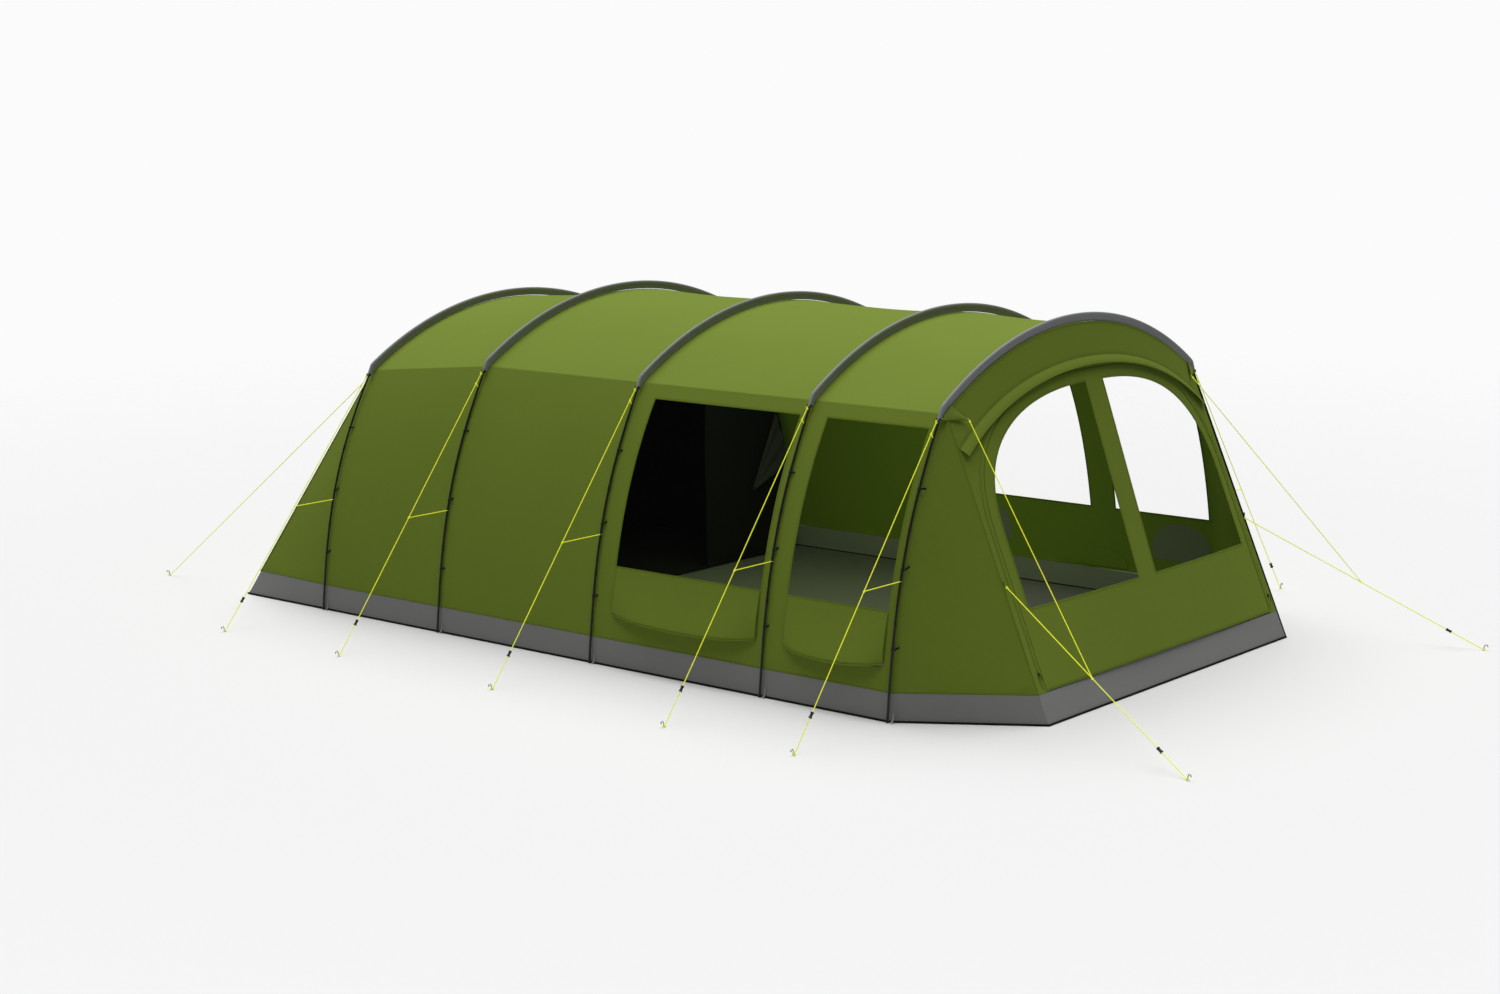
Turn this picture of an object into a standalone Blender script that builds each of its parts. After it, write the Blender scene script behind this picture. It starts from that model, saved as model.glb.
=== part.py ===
"""Tunnel tent on five arched poles, with every piece as its own closed solid.

X runs from the sleeping end to the front door, Y runs across and Z is up. The origin is on the ground
under the middle of the groundsheet. Left is the -Y side. Sizes are in metres.
"""

import math

import bmesh
import bpy
from mathutils import Matrix, Vector

# Footprint and height
LENGTH = 6.26
HEIGHT = 2.15
ARCH_X = (-2.330, -1.225, 0.118, 1.467, 2.387)
FRONT_CORNER_Y = 1.400
FOOT_Y = 1.906
LOW_ARCH_DROP = 0.107  # the arch at the sleeping end stands lower than the other four

# Arch: a circular roof, a sharp kink at each shoulder and a bowed leg
KINK_Y = 1.414
KINK_Z = 1.735
SLEEVE_END_Y = 1.450
SLEEVE_END_Z = 1.660
LEG_BOW = (0.0834, 0.0403, 0.0521)  # how far a leg leans in, for each power of its height
LEG_STANDOFF = 0.0132  # how far the leg stands off that curve where it leaves the sleeve
STANDOFF_FROM_Z = 1.30
ROOF_POLE_R = 0.0065
LEG_R = 0.008
POLE_DEPTH = 0.0155  # the pole's centre below the sleeve's outer edge
ROOF_STEPS = 14
LEG_STEPS = 6

# Fabric
FABRIC = 0.003
FILM = 0.001
SLEEVE_FABRIC = 0.0015
SLEEVE_HALF = 0.0095
SLEEVE_FOOT_HALF = 0.004
SLEEVE_BELLY = 0.026
SLEEVE_DEPTH = 0.055
SLEEVE_KINK_DEPTH = 0.047
SLEEVE_END_DEPTH = 0.030
ROOF_DEPTH = 0.058  # the roof fabric below the sleeve's outer edge
ROOF_SAG = 0.020
SHOULDER_Y = 1.385
WALL_GAP = 0.014  # from a leg's centre in to the wall
SEAM = 0.002  # gap left between two panels that are sewn together
TUB_Z = 0.165
CORNER_INSET = 0.009
ROOF_COLUMNS = 14

# Side windows and vents
WINDOW_X = ((0.269, 1.402), (1.605, 2.324))
WINDOW_Z = (0.615, 1.604)
WINDOW_LAP = 0.010
FILM_INSET = 0.0045
WALL_LEVELS = (0.86, 1.11, 1.35)
VENT_TOP_Z = 0.607
VENT_END_Z = 0.320
VENT_DIP = 0.034
VENT_PROUD = 0.052
VENT_STANDOFF = 0.005

# Front door: an arch with two windows, and a storm hood above it
ARCH_POWER = 2.5
DOOR_HALF = 1.310
DOOR_SPRING_Z = 1.000
DOOR_TOP_Z = 1.825
DOOR_BOTTOM_Z = 0.174
HINGE_Z = 0.176
HINGE_X = 3.063
DOOR_CLEARANCE = 0.006
PANE_HALF = 1.235
PANE_TOP_Z = 1.755
PANE_BOTTOM_Z = 0.610
DIVIDER_HALF = 0.100
DOOR_COLUMNS = (0.20, 0.45, 0.70, 0.90, 1.05, 1.15, 1.20, 1.225)
HOOD_TOP_Z = 1.895
HOOD_BOW = (0.162, 0.0276)  # how far the hood falls, for the square and fourth power of its distance
HOOD_HALF = 1.370
HOOD_WIDTH = 0.045
HOOD_PROUD = 0.028

# Zip sliders
SLIDER_Y = 1.345
SLIDER_Z = 0.270
SLIDER_SIZE = (0.008, 0.014, 0.024)
SLIDER_STANDOFF = 0.008
PULL_SIZE = (0.003, 0.008, 0.036)

# Bedrooms
BEDROOM_WALL = 0.004
BEDROOM_FLOOR_Z = 0.012
BEDROOM_GAP = 0.110
MAIN_BEDROOM_X = (-2.860, -1.185)
REAR_SLOPE_X = 0.620

# Guy lines
CORD_R = 0.0035
TIED_CORD_R = 0.0033  # a line that is tied to another, whose end stays inside that one
GUY_TOP_GAP = 0.006
GUY_PEG_Y = 2.740
GUY_JOINT = (2.122, 0.790)
GUY_END_Z = 0.008
REAR_KNOT = 0.03  # how far down the low arch's side guy the rear guy is tied
REAR_PEG = (-4.064, 1.830)
FRONT_RING = (2.474, 1.262, 1.648)
FRONT_PEG = (4.250, 1.850)
FRONT_JOINT = 0.500  # how far down the front guy its second line joins, from 0 to 1
WING_RING = (2.815, 1.378, 0.750)
RUNNER_R = 0.011
RUNNER_BORE_R = 0.0045
RUNNER_LENGTH = 0.036
RUNNER_FROM_PEG = 0.230
RUNNER_SIDES = 8

# The arch circle, from the three points that it passes through
RISE = HEIGHT - KINK_Z
ARCH_R = (KINK_Y**2 + RISE**2) / (2 * RISE)
ARCH_CENTRE_Z = HEIGHT - ARCH_R
KINK_ANGLE = math.asin(KINK_Y / ARCH_R)
ROOF_R = ARCH_R - ROOF_DEPTH
SHOULDER_ANGLE = math.asin(SHOULDER_Y / ROOF_R)
SHOULDER_Z = ARCH_CENTRE_Z + ROOF_R * math.cos(SHOULDER_ANGLE)
LOW_SCALE = 1 - LOW_ARCH_DROP / SHOULDER_Z
WALL_TOP_Z = SHOULDER_Z - SEAM
WALL_BOTTOM_Z = TUB_Z + SEAM
REAR_BASE_X = -LENGTH / 2
FRONT_BASE_X = LENGTH / 2
REAR_TOP_X = ARCH_X[0] - 0.012
FRONT_TOP_X = ARCH_X[4] + 0.012
CORNER_TOP_OUT = 0.020
LEG_RUN = Vector((SLEEVE_END_Y - KINK_Y, SLEEVE_END_Z - KINK_Z)).normalized()

SIDES = {"left": -1, "right": 1}


def clear_scene():
    """Empty the scene, so that the script can run again in an open file."""
    for old in list(bpy.data.objects):
        bpy.data.objects.remove(old)


def collection(name):
    made = bpy.data.collections.new(name)
    bpy.context.scene.collection.children.link(made)
    return made


def finish_of(name, colour, roughness, metallic=0.0, alpha=1.0):
    """One Principled material with a plain colour."""
    made = bpy.data.materials.new(name)
    made.use_nodes = True
    shader = made.node_tree.nodes["Principled BSDF"]
    shader.inputs["Base Color"].default_value = (*colour, 1)
    shader.inputs["Roughness"].default_value = roughness
    shader.inputs["Metallic"].default_value = metallic
    shader.inputs["Alpha"].default_value = alpha
    return made


def add_part(name, mesh, finish):
    part = bpy.data.objects.new(name, mesh)
    mesh.materials.append(FINISHES[finish])
    TENT.objects.link(part)
    return part


def set_origin(part, point):
    """Move a part's origin to a point without moving its shape."""
    part.data.transform(Matrix.Translation(-Vector(point)))
    part.location = point


def sheet(name, columns, rows, place, outward, finish, thickness=FABRIC, keep=None):
    """A fabric panel: a grid whose crossings place(column, row) puts in space, thickened inwards."""
    bm = bmesh.new()
    bmesh.ops.create_grid(bm, x_segments=columns, y_segments=rows, size=0.5)
    if keep:
        holes = []
        for face in bm.faces:
            middle = face.calc_center_median()
            cell = (int((middle.x + 0.5) * columns), int((middle.y + 0.5) * rows))
            if not keep(*cell):
                holes.append(face)
        bmesh.ops.delete(bm, geom=holes, context="FACES")
    for vertex in bm.verts:
        column = round((vertex.co.x + 0.5) * columns)
        row = round((vertex.co.y + 0.5) * rows)
        vertex.co = place(column, row)
    bm.normal_update()
    if sum((face.normal * face.calc_area() for face in bm.faces), Vector()).dot(outward) < 0:
        bmesh.ops.reverse_faces(bm, faces=bm.faces)
    mesh = bpy.data.meshes.new(name)
    bm.to_mesh(mesh)
    bm.free()
    part = add_part(name, mesh, finish)
    thicken(part, thickness)
    return part


def thicken(part, thickness):
    shell = part.modifiers.new("Thickness", "SOLIDIFY")
    shell.thickness = thickness
    shell.offset = -1
    shell.use_even_offset = True


def blend(a, b, share):
    return a + (b - a) * share


# ---------------------------------------------------------------- the tent's surfaces


def leg_y(z):
    """Half the width between the legs' centres at a height."""
    return FOOT_Y - sum(bow * z ** (power + 1) for power, bow in enumerate(LEG_BOW))


def wall_y(z):
    return leg_y(z) - WALL_GAP


def roof_z(y):
    return ARCH_CENTRE_Z + math.sqrt(ROOF_R**2 - y**2)


def lowering(x):
    """How much of the low arch's drop is felt at x, from 1 at that arch to 0 at the next."""
    return min(1.0, max(0.0, (ARCH_X[1] - x) / (ARCH_X[1] - ARCH_X[0])))


def roof_point(x, angle, sag=0.0):
    radius = ROOF_R - sag
    z = ARCH_CENTRE_Z - LOW_ARCH_DROP * lowering(x) + radius * math.cos(angle)
    return Vector((x, radius * math.sin(angle), z))


def wall_point(side, x, height):
    """The wall's outer face at x, where height is the one it would have beside a full arch."""
    scale = blend(1, LOW_SCALE, lowering(x))
    return Vector((x, side * wall_y(height), height * scale))


def rear_corner(side, z):
    share = z / (WALL_TOP_Z * LOW_SCALE)
    x = blend(REAR_BASE_X, ARCH_X[0] - CORNER_TOP_OUT, share)
    return Vector((x, side * blend(wall_y(0), SHOULDER_Y, share), z))


def front_corner(side, z):
    share = z / WALL_TOP_Z
    x = blend(FRONT_BASE_X, ARCH_X[4] + CORNER_TOP_OUT, share)
    return Vector((x, side * blend(FRONT_CORNER_Y, SHOULDER_Y, share), z))


def front_x(y, z):
    """The sloping front: straight lines from the ground up to the last arch."""
    return blend(FRONT_BASE_X, FRONT_TOP_X, z / roof_z(y))


def front_point(y, z, out=0.0):
    return Vector((front_x(y, z) + out, y, z))


def arch_top(y, half, spring, top):
    """The height of a flattened arch at y."""
    share = min(1.0, abs(y) / half)
    return spring + (top - spring) * (1 - share**ARCH_POWER) ** (1 / ARCH_POWER)


# ---------------------------------------------------------------- poles and sleeves


def arch_point(station, depth, drop):
    """A station along an arch, from one sleeve end over the roof to the other, at a depth inside its edge."""
    last = ROOF_STEPS + 2
    side = -1 if station < last / 2 else 1
    leg_normal = Vector((-LEG_RUN.y, LEG_RUN.x))
    if station in (0, last):
        y, z = Vector((SLEEVE_END_Y, SLEEVE_END_Z)) - depth * leg_normal
    elif station in (1, last - 1):
        roof_normal = Vector((math.sin(KINK_ANGLE), math.cos(KINK_ANGLE)))
        across = (leg_normal + roof_normal).normalized()
        y, z = Vector((KINK_Y, KINK_Z)) - across * (depth / across.dot(roof_normal))
    else:
        angle = abs(blend(-KINK_ANGLE, KINK_ANGLE, (station - 1) / ROOF_STEPS))
        y = (ARCH_R - depth) * math.sin(angle)
        z = ARCH_CENTRE_Z + (ARCH_R - depth) * math.cos(angle)
    return side * y, z - drop


def leg_points(side, drop):
    """The pole from its foot up to where it enters the sleeve, and its radius at each point."""
    scale = 1 - drop / KINK_Z
    top_y, top_z = arch_point(ROOF_STEPS + 2, POLE_DEPTH, 0)
    points = []
    for step in range(LEG_STEPS + 1):
        z = blend(0.0, top_z - 0.012, step / LEG_STEPS)
        out = max(0.0, (z - STANDOFF_FROM_Z) / (top_z - STANDOFF_FROM_Z))
        y = leg_y(z) + LEG_STANDOFF * out**2
        points.append((side * y, max(z * scale, 0.0015), LEG_R))
    points.append((side * (top_y + 0.002), (top_z - 0.006) * scale, ROOF_POLE_R))
    return points


def arch_pole(number, x, drop):
    """One pole from foot to foot: thicker legs, and a thinner hoop that runs inside the sleeve."""
    hoop = []
    for station in range(1, ROOF_STEPS + 2):
        y, z = arch_point(station, POLE_DEPTH, drop)
        hoop.append((y, z, ROOF_POLE_R))
    line = leg_points(-1, drop) + hoop + leg_points(1, drop)[::-1]
    points = [(x, y, z) for y, z, radius in line]
    pole = tube(f"arch_pole_{number}", points, LEG_R, "pole_steel")
    for point, (y, z, radius) in zip(pole.data.splines[0].points, line):
        point.radius = radius / LEG_R


def tube(name, points, radius, finish, group=None):
    """A round bar along a line of points, with closed ends."""
    curve = bpy.data.curves.new(name, "CURVE")
    curve.dimensions = "3D"
    curve.bevel_depth = radius
    curve.bevel_resolution = 2
    curve.use_fill_caps = True
    spline = curve.splines.new("POLY")
    spline.points.add(len(points) - 1)
    for point, place in zip(spline.points, points):
        point.co = (*place, 1)
    bar = bpy.data.objects.new(name, curve)
    curve.materials.append(FINISHES[finish])
    (group or TENT).objects.link(bar)
    return bar


def sleeve(number, x, drop):
    """The folded fabric channel that holds the hoop and stands on the roof like a fin."""
    last = ROOF_STEPS + 2

    def place(station, corner):
        end = station in (0, last)
        foot = {0: SLEEVE_END_DEPTH, 1: SLEEVE_KINK_DEPTH}.get(min(station, last - station), SLEEVE_DEPTH)
        foot_half = blend(SLEEVE_FOOT_HALF, SLEEVE_HALF, 0.4) if end else SLEEVE_FOOT_HALF
        half, depth = (
            (SLEEVE_HALF, 0.0),
            (SLEEVE_HALF, SLEEVE_BELLY),
            (foot_half, foot),
            (-foot_half, foot),
            (-SLEEVE_HALF, SLEEVE_BELLY),
            (-SLEEVE_HALF, 0.0),
        )[corner % 6]
        y, z = arch_point(station, depth, drop)
        return Vector((x + half, y, z))

    name = f"sleeve_{number}"
    bm = bmesh.new()
    rings = [[bm.verts.new(place(station, corner)) for corner in range(6)] for station in range(last + 1)]
    for near, far in zip(rings, rings[1:]):
        for corner in range(6):
            after = (corner + 1) % 6
            bm.faces.new((near[corner], near[after], far[after], far[corner]))
    mesh = bpy.data.meshes.new(name)
    bm.to_mesh(mesh)
    bm.free()
    thicken(add_part(name, mesh, "sleeve_fabric"), SLEEVE_FABRIC)


# ---------------------------------------------------------------- outer fabric


def roof_panel(number):
    """The roof between two arches, a saddle that hangs a little between them."""
    first, last = ARCH_X[number - 1], ARCH_X[number]
    start = first - (0.004 if number == 1 else -SEAM / 2)
    end = last + (0.004 if number == 4 else -SEAM / 2)
    rows = 4

    def place(column, row):
        share = row / rows
        across = 2 * column / ROOF_COLUMNS - 1
        sag = ROOF_SAG * 4 * share * (1 - share) * (1 - across**4)
        return roof_point(blend(start, end, share), across * SHOULDER_ANGLE, sag)

    sheet(f"roof_panel_{number}", ROOF_COLUMNS, rows, place, Vector((0, 0, 1)), "roof_fabric")


def side_wall(name, side):
    """A whole side, from the rear corner past the arches to the front corner, with its window openings."""
    stations = sorted([*ARCH_X, *WINDOW_X[0], *WINDOW_X[1]])
    heights = [WALL_BOTTOM_Z, WINDOW_Z[0], *WALL_LEVELS, WINDOW_Z[1], WALL_TOP_Z]
    columns = len(stations) + 1
    rows = len(heights) - 1

    def place(column, row):
        height = heights[row]
        if column == 0:
            share = (height - WALL_BOTTOM_Z) / (WALL_TOP_Z - WALL_BOTTOM_Z)
            return rear_corner(side, blend(WALL_BOTTOM_Z, WALL_TOP_Z * LOW_SCALE, share))
        if column == columns:
            return front_corner(side, height)
        point = wall_point(side, stations[column - 1], height)
        point.z = max(point.z, WALL_BOTTOM_Z)
        return point

    def keep(column, row):
        between = [stations[column - 1], stations[column]] if 0 < column < columns - 1 else []
        return not (tuple(between) in WINDOW_X and 0 < row < rows - 1)

    sheet(name, columns, rows, place, Vector((0, side, 0)), "wall_fabric", keep=keep)


def rear_panel():
    """The sloping back, from the low arch down to the ground sheet's rear edge."""
    rows = 4
    margin = 1 - 0.006

    def place(column, row):
        across = 2 * column / ROOF_COLUMNS - 1
        top = roof_point(ARCH_X[0], across * SHOULDER_ANGLE * margin, 0.004)
        top.x = REAR_TOP_X
        foot = rear_corner(1, WALL_BOTTOM_Z)
        foot.y = across * (foot.y - CORNER_INSET)
        return foot.lerp(top, row / rows)

    sheet("rear_panel", ROOF_COLUMNS, rows, place, Vector((-1, 0, 0.3)), "roof_fabric")


def front_surround():
    """The sloping front around the door: an upside-down U from the groundsheet over the door and back down."""
    side_steps = 3
    turn_steps = 24
    columns = turn_steps + 2 * side_steps
    corner_turn = math.radians(58)
    edge_y = SHOULDER_Y - CORNER_INSET

    def inner(turn):
        half = DOOR_HALF + DOOR_CLEARANCE
        y = half * math.copysign(abs(math.sin(turn)) ** (2 / ARCH_POWER), turn)
        return y, arch_top(y, half, DOOR_SPRING_Z, DOOR_TOP_Z + DOOR_CLEARANCE)

    def outer(turn):
        if abs(turn) <= corner_turn:
            y = edge_y * math.sin(turn) / math.sin(corner_turn)
            return y, roof_z(y) - 0.005
        share = (abs(turn) - corner_turn) / (math.pi / 2 - corner_turn)
        return math.copysign(edge_y, turn), blend(roof_z(edge_y) - 0.005, DOOR_SPRING_Z, share)

    def place(column, row):
        below = max(side_steps - column, column - side_steps - turn_steps, 0) / side_steps
        turn = blend(-math.pi / 2, math.pi / 2, min(1, max(0, (column - side_steps) / turn_steps)))
        inside, outside = inner(turn), outer(turn)
        y = blend(inside[0], outside[0], row / 2)
        z = blend(inside[1], outside[1], row / 2)
        return front_point(y, blend(z, WALL_BOTTOM_Z, below))

    sheet("front_surround", columns, 2, place, Vector((1, 0, 0)), "wall_fabric")


def storm_hood():
    """The curved flap above the door that sheds rain off its zip."""
    columns = 20

    def place(column, row):
        y = HOOD_HALF * (2 * column / columns - 1)
        z = HOOD_TOP_Z - HOOD_BOW[0] * y**2 - HOOD_BOW[1] * y**4
        slope = -2 * HOOD_BOW[0] * y - 4 * HOOD_BOW[1] * y**3
        inward = Vector((slope, -1)).normalized() * HOOD_WIDTH * row / 2
        out = blend(FABRIC + SEAM, HOOD_PROUD, math.sqrt(row / 2))
        return front_point(y + inward.x, z + inward.y, out)

    sheet("storm_hood", columns, 2, place, Vector((1, 0, 0)), "wall_fabric")


def groundsheet():
    """The floor and the low walls of the tub, in one waterproof sheet."""
    base, rim = [], []
    for side in (-1, 1):
        ends = [(rear_corner(side, 0), rear_corner(side, TUB_Z))]
        for x in (ARCH_X[0], ARCH_X[4]):
            ends.append((wall_point(side, x, 0), Vector((x, side * wall_y(TUB_Z), TUB_Z))))
        ends.append((front_corner(side, 0), front_corner(side, TUB_Z)))
        for low, high in ends if side < 0 else ends[::-1]:
            base.append(low)
            rim.append(high)
        if side < 0:
            base.append(Vector((FRONT_BASE_X, 0, 0)))
            rim.append(front_point(0, TUB_Z))
    bm = bmesh.new()
    low_ring = [bm.verts.new(point) for point in base]
    high_ring = [bm.verts.new(point) for point in rim]
    bm.faces.new(low_ring[::-1])
    for corner in range(len(base)):
        after = (corner + 1) % len(base)
        bm.faces.new((low_ring[corner], low_ring[after], high_ring[after], high_ring[corner]))
    mesh = bpy.data.meshes.new("groundsheet")
    bm.to_mesh(mesh)
    bm.free()
    thicken(add_part("groundsheet", mesh, "groundsheet_sheet"), FABRIC)


# ---------------------------------------------------------------- windows, vents and door


def side_window(name, side, span):
    """Clear film sewn behind an opening in a side wall."""
    heights = [WINDOW_Z[0] - WINDOW_LAP, *WALL_LEVELS, WINDOW_Z[1] + WINDOW_LAP]

    def place(column, row):
        x = (span[0] - WINDOW_LAP, span[1] + WINDOW_LAP)[column]
        point = wall_point(side, x, heights[row])
        point.y -= side * FILM_INSET
        return point

    sheet(name, 1, len(heights) - 1, place, Vector((0, side, 0)), "window_film", FILM)


def side_vent(name, side, span):
    """A hooded flap that hangs from the window's lower seam and stands off the wall at its curved hem."""
    columns, rows = 8, 2

    def place(column, row):
        across = 2 * column / columns - 1
        hem_z = VENT_END_Z - VENT_DIP * (1 - across**2)
        z = blend(VENT_TOP_Z, hem_z, row / rows)
        y = wall_y(z) + blend(VENT_STANDOFF, VENT_PROUD, (row / rows) ** 1.5)
        return Vector((blend(*span, column / columns), side * y, z))

    flap = sheet(name, columns, rows, place, Vector((0, side, 0)), "wall_fabric")
    middle = (span[0] + span[1]) / 2
    set_origin(flap, (middle, side * (wall_y(VENT_TOP_Z) + VENT_STANDOFF), VENT_TOP_Z))


def front_door():
    """The whole front panel inside the zip, with two window openings, hinged along its lower seam."""
    outer = (PANE_HALF, 1.27, 1.30, DOOR_HALF)
    right = [DIVIDER_HALF, *DOOR_COLUMNS, *outer]
    lines = [-y for y in right[::-1]] + right
    columns = len(lines) - 1
    first_pane, last_pane = len(outer) - 1, len(right) - 1

    def place(column, row):
        y = lines[column]
        in_pane = abs(y) < PANE_HALF
        pane_top = arch_top(y, PANE_HALF, DOOR_SPRING_Z, PANE_TOP_Z) if in_pane else 0.92
        top = arch_top(y, DOOR_HALF, DOOR_SPRING_Z, DOOR_TOP_Z)
        return front_point(y, (DOOR_BOTTOM_Z, PANE_BOTTOM_Z, pane_top, top)[row])

    def keep(column, row):
        mirrored = min(column, columns - 1 - column)
        return row != 1 or not first_pane <= mirrored < last_pane

    door = sheet("front_door", columns, 3, place, Vector((1, 0, 0)), "wall_fabric", keep=keep)
    set_origin(door, (HINGE_X, 0, HINGE_Z))
    for name, side in SIDES.items():
        door_window(f"door_window_{name}", side)


def door_window(name, side):
    lines = [DIVIDER_HALF - WINDOW_LAP, *DOOR_COLUMNS, PANE_HALF + WINDOW_LAP]

    def place(column, row):
        y = lines[column]
        top = arch_top(y, PANE_HALF + WINDOW_LAP, DOOR_SPRING_Z, PANE_TOP_Z + WINDOW_LAP)
        z = (PANE_BOTTOM_Z - WINDOW_LAP, top)[row]
        return front_point(side * y, z, -FILM_INSET)

    pane = sheet(name, len(lines) - 1, 1, place, Vector((1, 0, 0)), "window_film", FILM)
    set_origin(pane, (HINGE_X, 0, HINGE_Z))


def block(name, size, centre, finish, group):
    """A small moulded block with softened edges."""
    mesh = bpy.data.meshes.new(name)
    bm = bmesh.new()
    bmesh.ops.create_cube(bm, size=1)
    bmesh.ops.scale(bm, vec=size, verts=bm.verts)
    bmesh.ops.translate(bm, vec=centre, verts=bm.verts)
    bm.to_mesh(mesh)
    bm.free()
    made = bpy.data.objects.new(name, mesh)
    mesh.materials.append(FINISHES[finish])
    group.objects.link(made)
    edge = made.modifiers.new("Edge", "BEVEL")
    edge.width = min(size) * 0.25
    edge.segments = 1
    return made


def zip_slider(name, side):
    """A door zip's slider with its pull tab, at the bottom of the zip's straight side."""
    spot = front_point(side * SLIDER_Y, SLIDER_Z, SLIDER_STANDOFF)
    above = front_point(side * SLIDER_Y, SLIDER_Z + 0.5, SLIDER_STANDOFF)
    body = block(name, SLIDER_SIZE, (0, 0, 0), "zip_metal", TENT)
    pull_at = (SLIDER_SIZE[0] / 2 + 0.0005, 0, -SLIDER_SIZE[2] / 2 - 0.006)
    pull = block(name + "_pull", PULL_SIZE, pull_at, "zip_metal", CUTTERS)
    hide_helper(pull)
    join = body.modifiers.new("Pull", "BOOLEAN")
    join.operation = "UNION"
    join.object = pull
    up = (above - spot).normalized()
    turn = Vector((0, 0, 1)).rotation_difference(up).to_matrix().to_4x4()
    body.matrix_world = Matrix.Translation(spot) @ turn
    pull.matrix_world = body.matrix_world


def hide_helper(helper):
    helper.hide_render = True
    helper.display_type = "WIRE"


# ---------------------------------------------------------------- bedrooms


def bedroom(name, span_x, span_y, doorway, cuts):
    """An inner tent: a box drawn out to the tunnel's shape, with its doorway left open."""
    bm = bmesh.new()
    bmesh.ops.create_cube(bm, size=1)
    bmesh.ops.subdivide_edges(bm, edges=bm.edges, cuts=cuts, use_grid_fill=True)
    opening = [face for face in bm.faces if doorway(face.calc_center_median())]
    bmesh.ops.delete(bm, geom=opening, context="FACES")
    for vertex in bm.verts:
        a, b, c = (value + 0.5 for value in vertex.co)
        y = blend(*span_y, b)
        ceiling = roof_z(min(abs(y), SHOULDER_Y)) - BEDROOM_GAP - 0.08 - max(0.0, abs(y) - SHOULDER_Y)
        x = blend(*span_x, a)
        ceiling -= LOW_ARCH_DROP * lowering(x)
        z = blend(BEDROOM_FLOOR_Z, ceiling, c)
        room = wall_y(min(z, SHOULDER_Z)) - BEDROOM_GAP
        y = max(-room, min(room, y))
        slope = REAR_SLOPE_X * c * (1 - a) ** 2
        vertex.co = (x + (slope if span_x[0] < ARCH_X[0] else 0), y, z)
    bm.normal_update()
    mesh = bpy.data.meshes.new(name)
    bm.to_mesh(mesh)
    bm.free()
    thicken(add_part(name, mesh, "bedroom_fabric"), BEDROOM_WALL)


def bedrooms():
    """The sleeping room across the back."""

    def main_doorway(middle):
        return middle.x > 0.49 and abs(middle.y) < 0.18 and middle.z < 0.30

    half = wall_y(0) - BEDROOM_GAP
    bedroom("main_bedroom", MAIN_BEDROOM_X, (-half, half), main_doorway, 6)


# ---------------------------------------------------------------- guy lines


def mesh_of(bar):
    """Turn a tube into a welded mesh, so that Booleans can join it."""
    mesh = bpy.data.meshes.new_from_object(bar.evaluated_get(bpy.context.evaluated_depsgraph_get()))
    bm = bmesh.new()
    bm.from_mesh(mesh)
    bmesh.ops.remove_doubles(bm, verts=bm.verts, dist=0.00001)
    bmesh.ops.recalc_face_normals(bm, faces=bm.faces)
    bm.to_mesh(mesh)
    bm.free()
    name, groups = bar.name, bar.users_collection
    bpy.data.objects.remove(bar)
    made = bpy.data.objects.new(name, mesh)
    groups[0].objects.link(made)
    return made


def guy(name, lines):
    """Cords that meet, as one solid: the first line with the others joined to it."""
    main = tube(name, lines[0], CORD_R, "guy_cord")
    others = []
    for number, line in enumerate(lines[1:], 2):
        others.append(tube(f"{name}_line_{number}", line, TIED_CORD_R, "guy_cord", CUTTERS))
    bpy.context.view_layer.update()
    main = mesh_of(main)
    for other in others:
        helper = mesh_of(other)
        hide_helper(helper)
        join = main.modifiers.new("Join", "BOOLEAN")
        join.operation = "UNION"
        join.object = helper


def runner(name, peg, top):
    """The sliding tensioner on a guy line, near its peg."""
    up = (Vector(top) - Vector(peg)).normalized()
    mesh = bpy.data.meshes.new(name)
    half = RUNNER_LENGTH / 2
    corners = [(RUNNER_R, half), (RUNNER_R, -half), (RUNNER_BORE_R, -half), (RUNNER_BORE_R, half)]
    points = [(radius, 0, z) for radius, z in corners]
    mesh.from_pydata(points, [(0, 1), (1, 2), (2, 3), (3, 0)], [])
    part = add_part(name, mesh, "runner_plastic")
    turned = part.modifiers.new("Turn", "SCREW")
    turned.axis = "Z"
    turned.steps = turned.render_steps = RUNNER_SIDES
    turned.use_merge_vertices = True
    turned.merge_threshold = 0.0001
    turn = Vector((0, 0, 1)).rotation_difference(up).to_matrix().to_4x4()
    part.matrix_world = Matrix.Translation(Vector(peg) + up * RUNNER_FROM_PEG) @ turn


def side_guy_lines(side, x, drop):
    """A side guy, from the sleeve's end to its peg, and the short line that ties the leg to it."""
    y, z = SLEEVE_END_Y + GUY_TOP_GAP, SLEEVE_END_Z - GUY_TOP_GAP - drop
    top = (x, side * y, z)
    peg = (x, side * GUY_PEG_Y, GUY_END_Z)
    joint_z = GUY_JOINT[1] * (1 - drop / KINK_Z)
    share = (z - joint_z) / (z - GUY_END_Z)
    joint_y = blend(y, GUY_PEG_Y, share)
    leg = (x, side * (leg_y(GUY_JOINT[1]) + LEG_R + 0.003), joint_z)
    return [[top, peg], [leg, (x, side * joint_y, joint_z)]]


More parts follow.
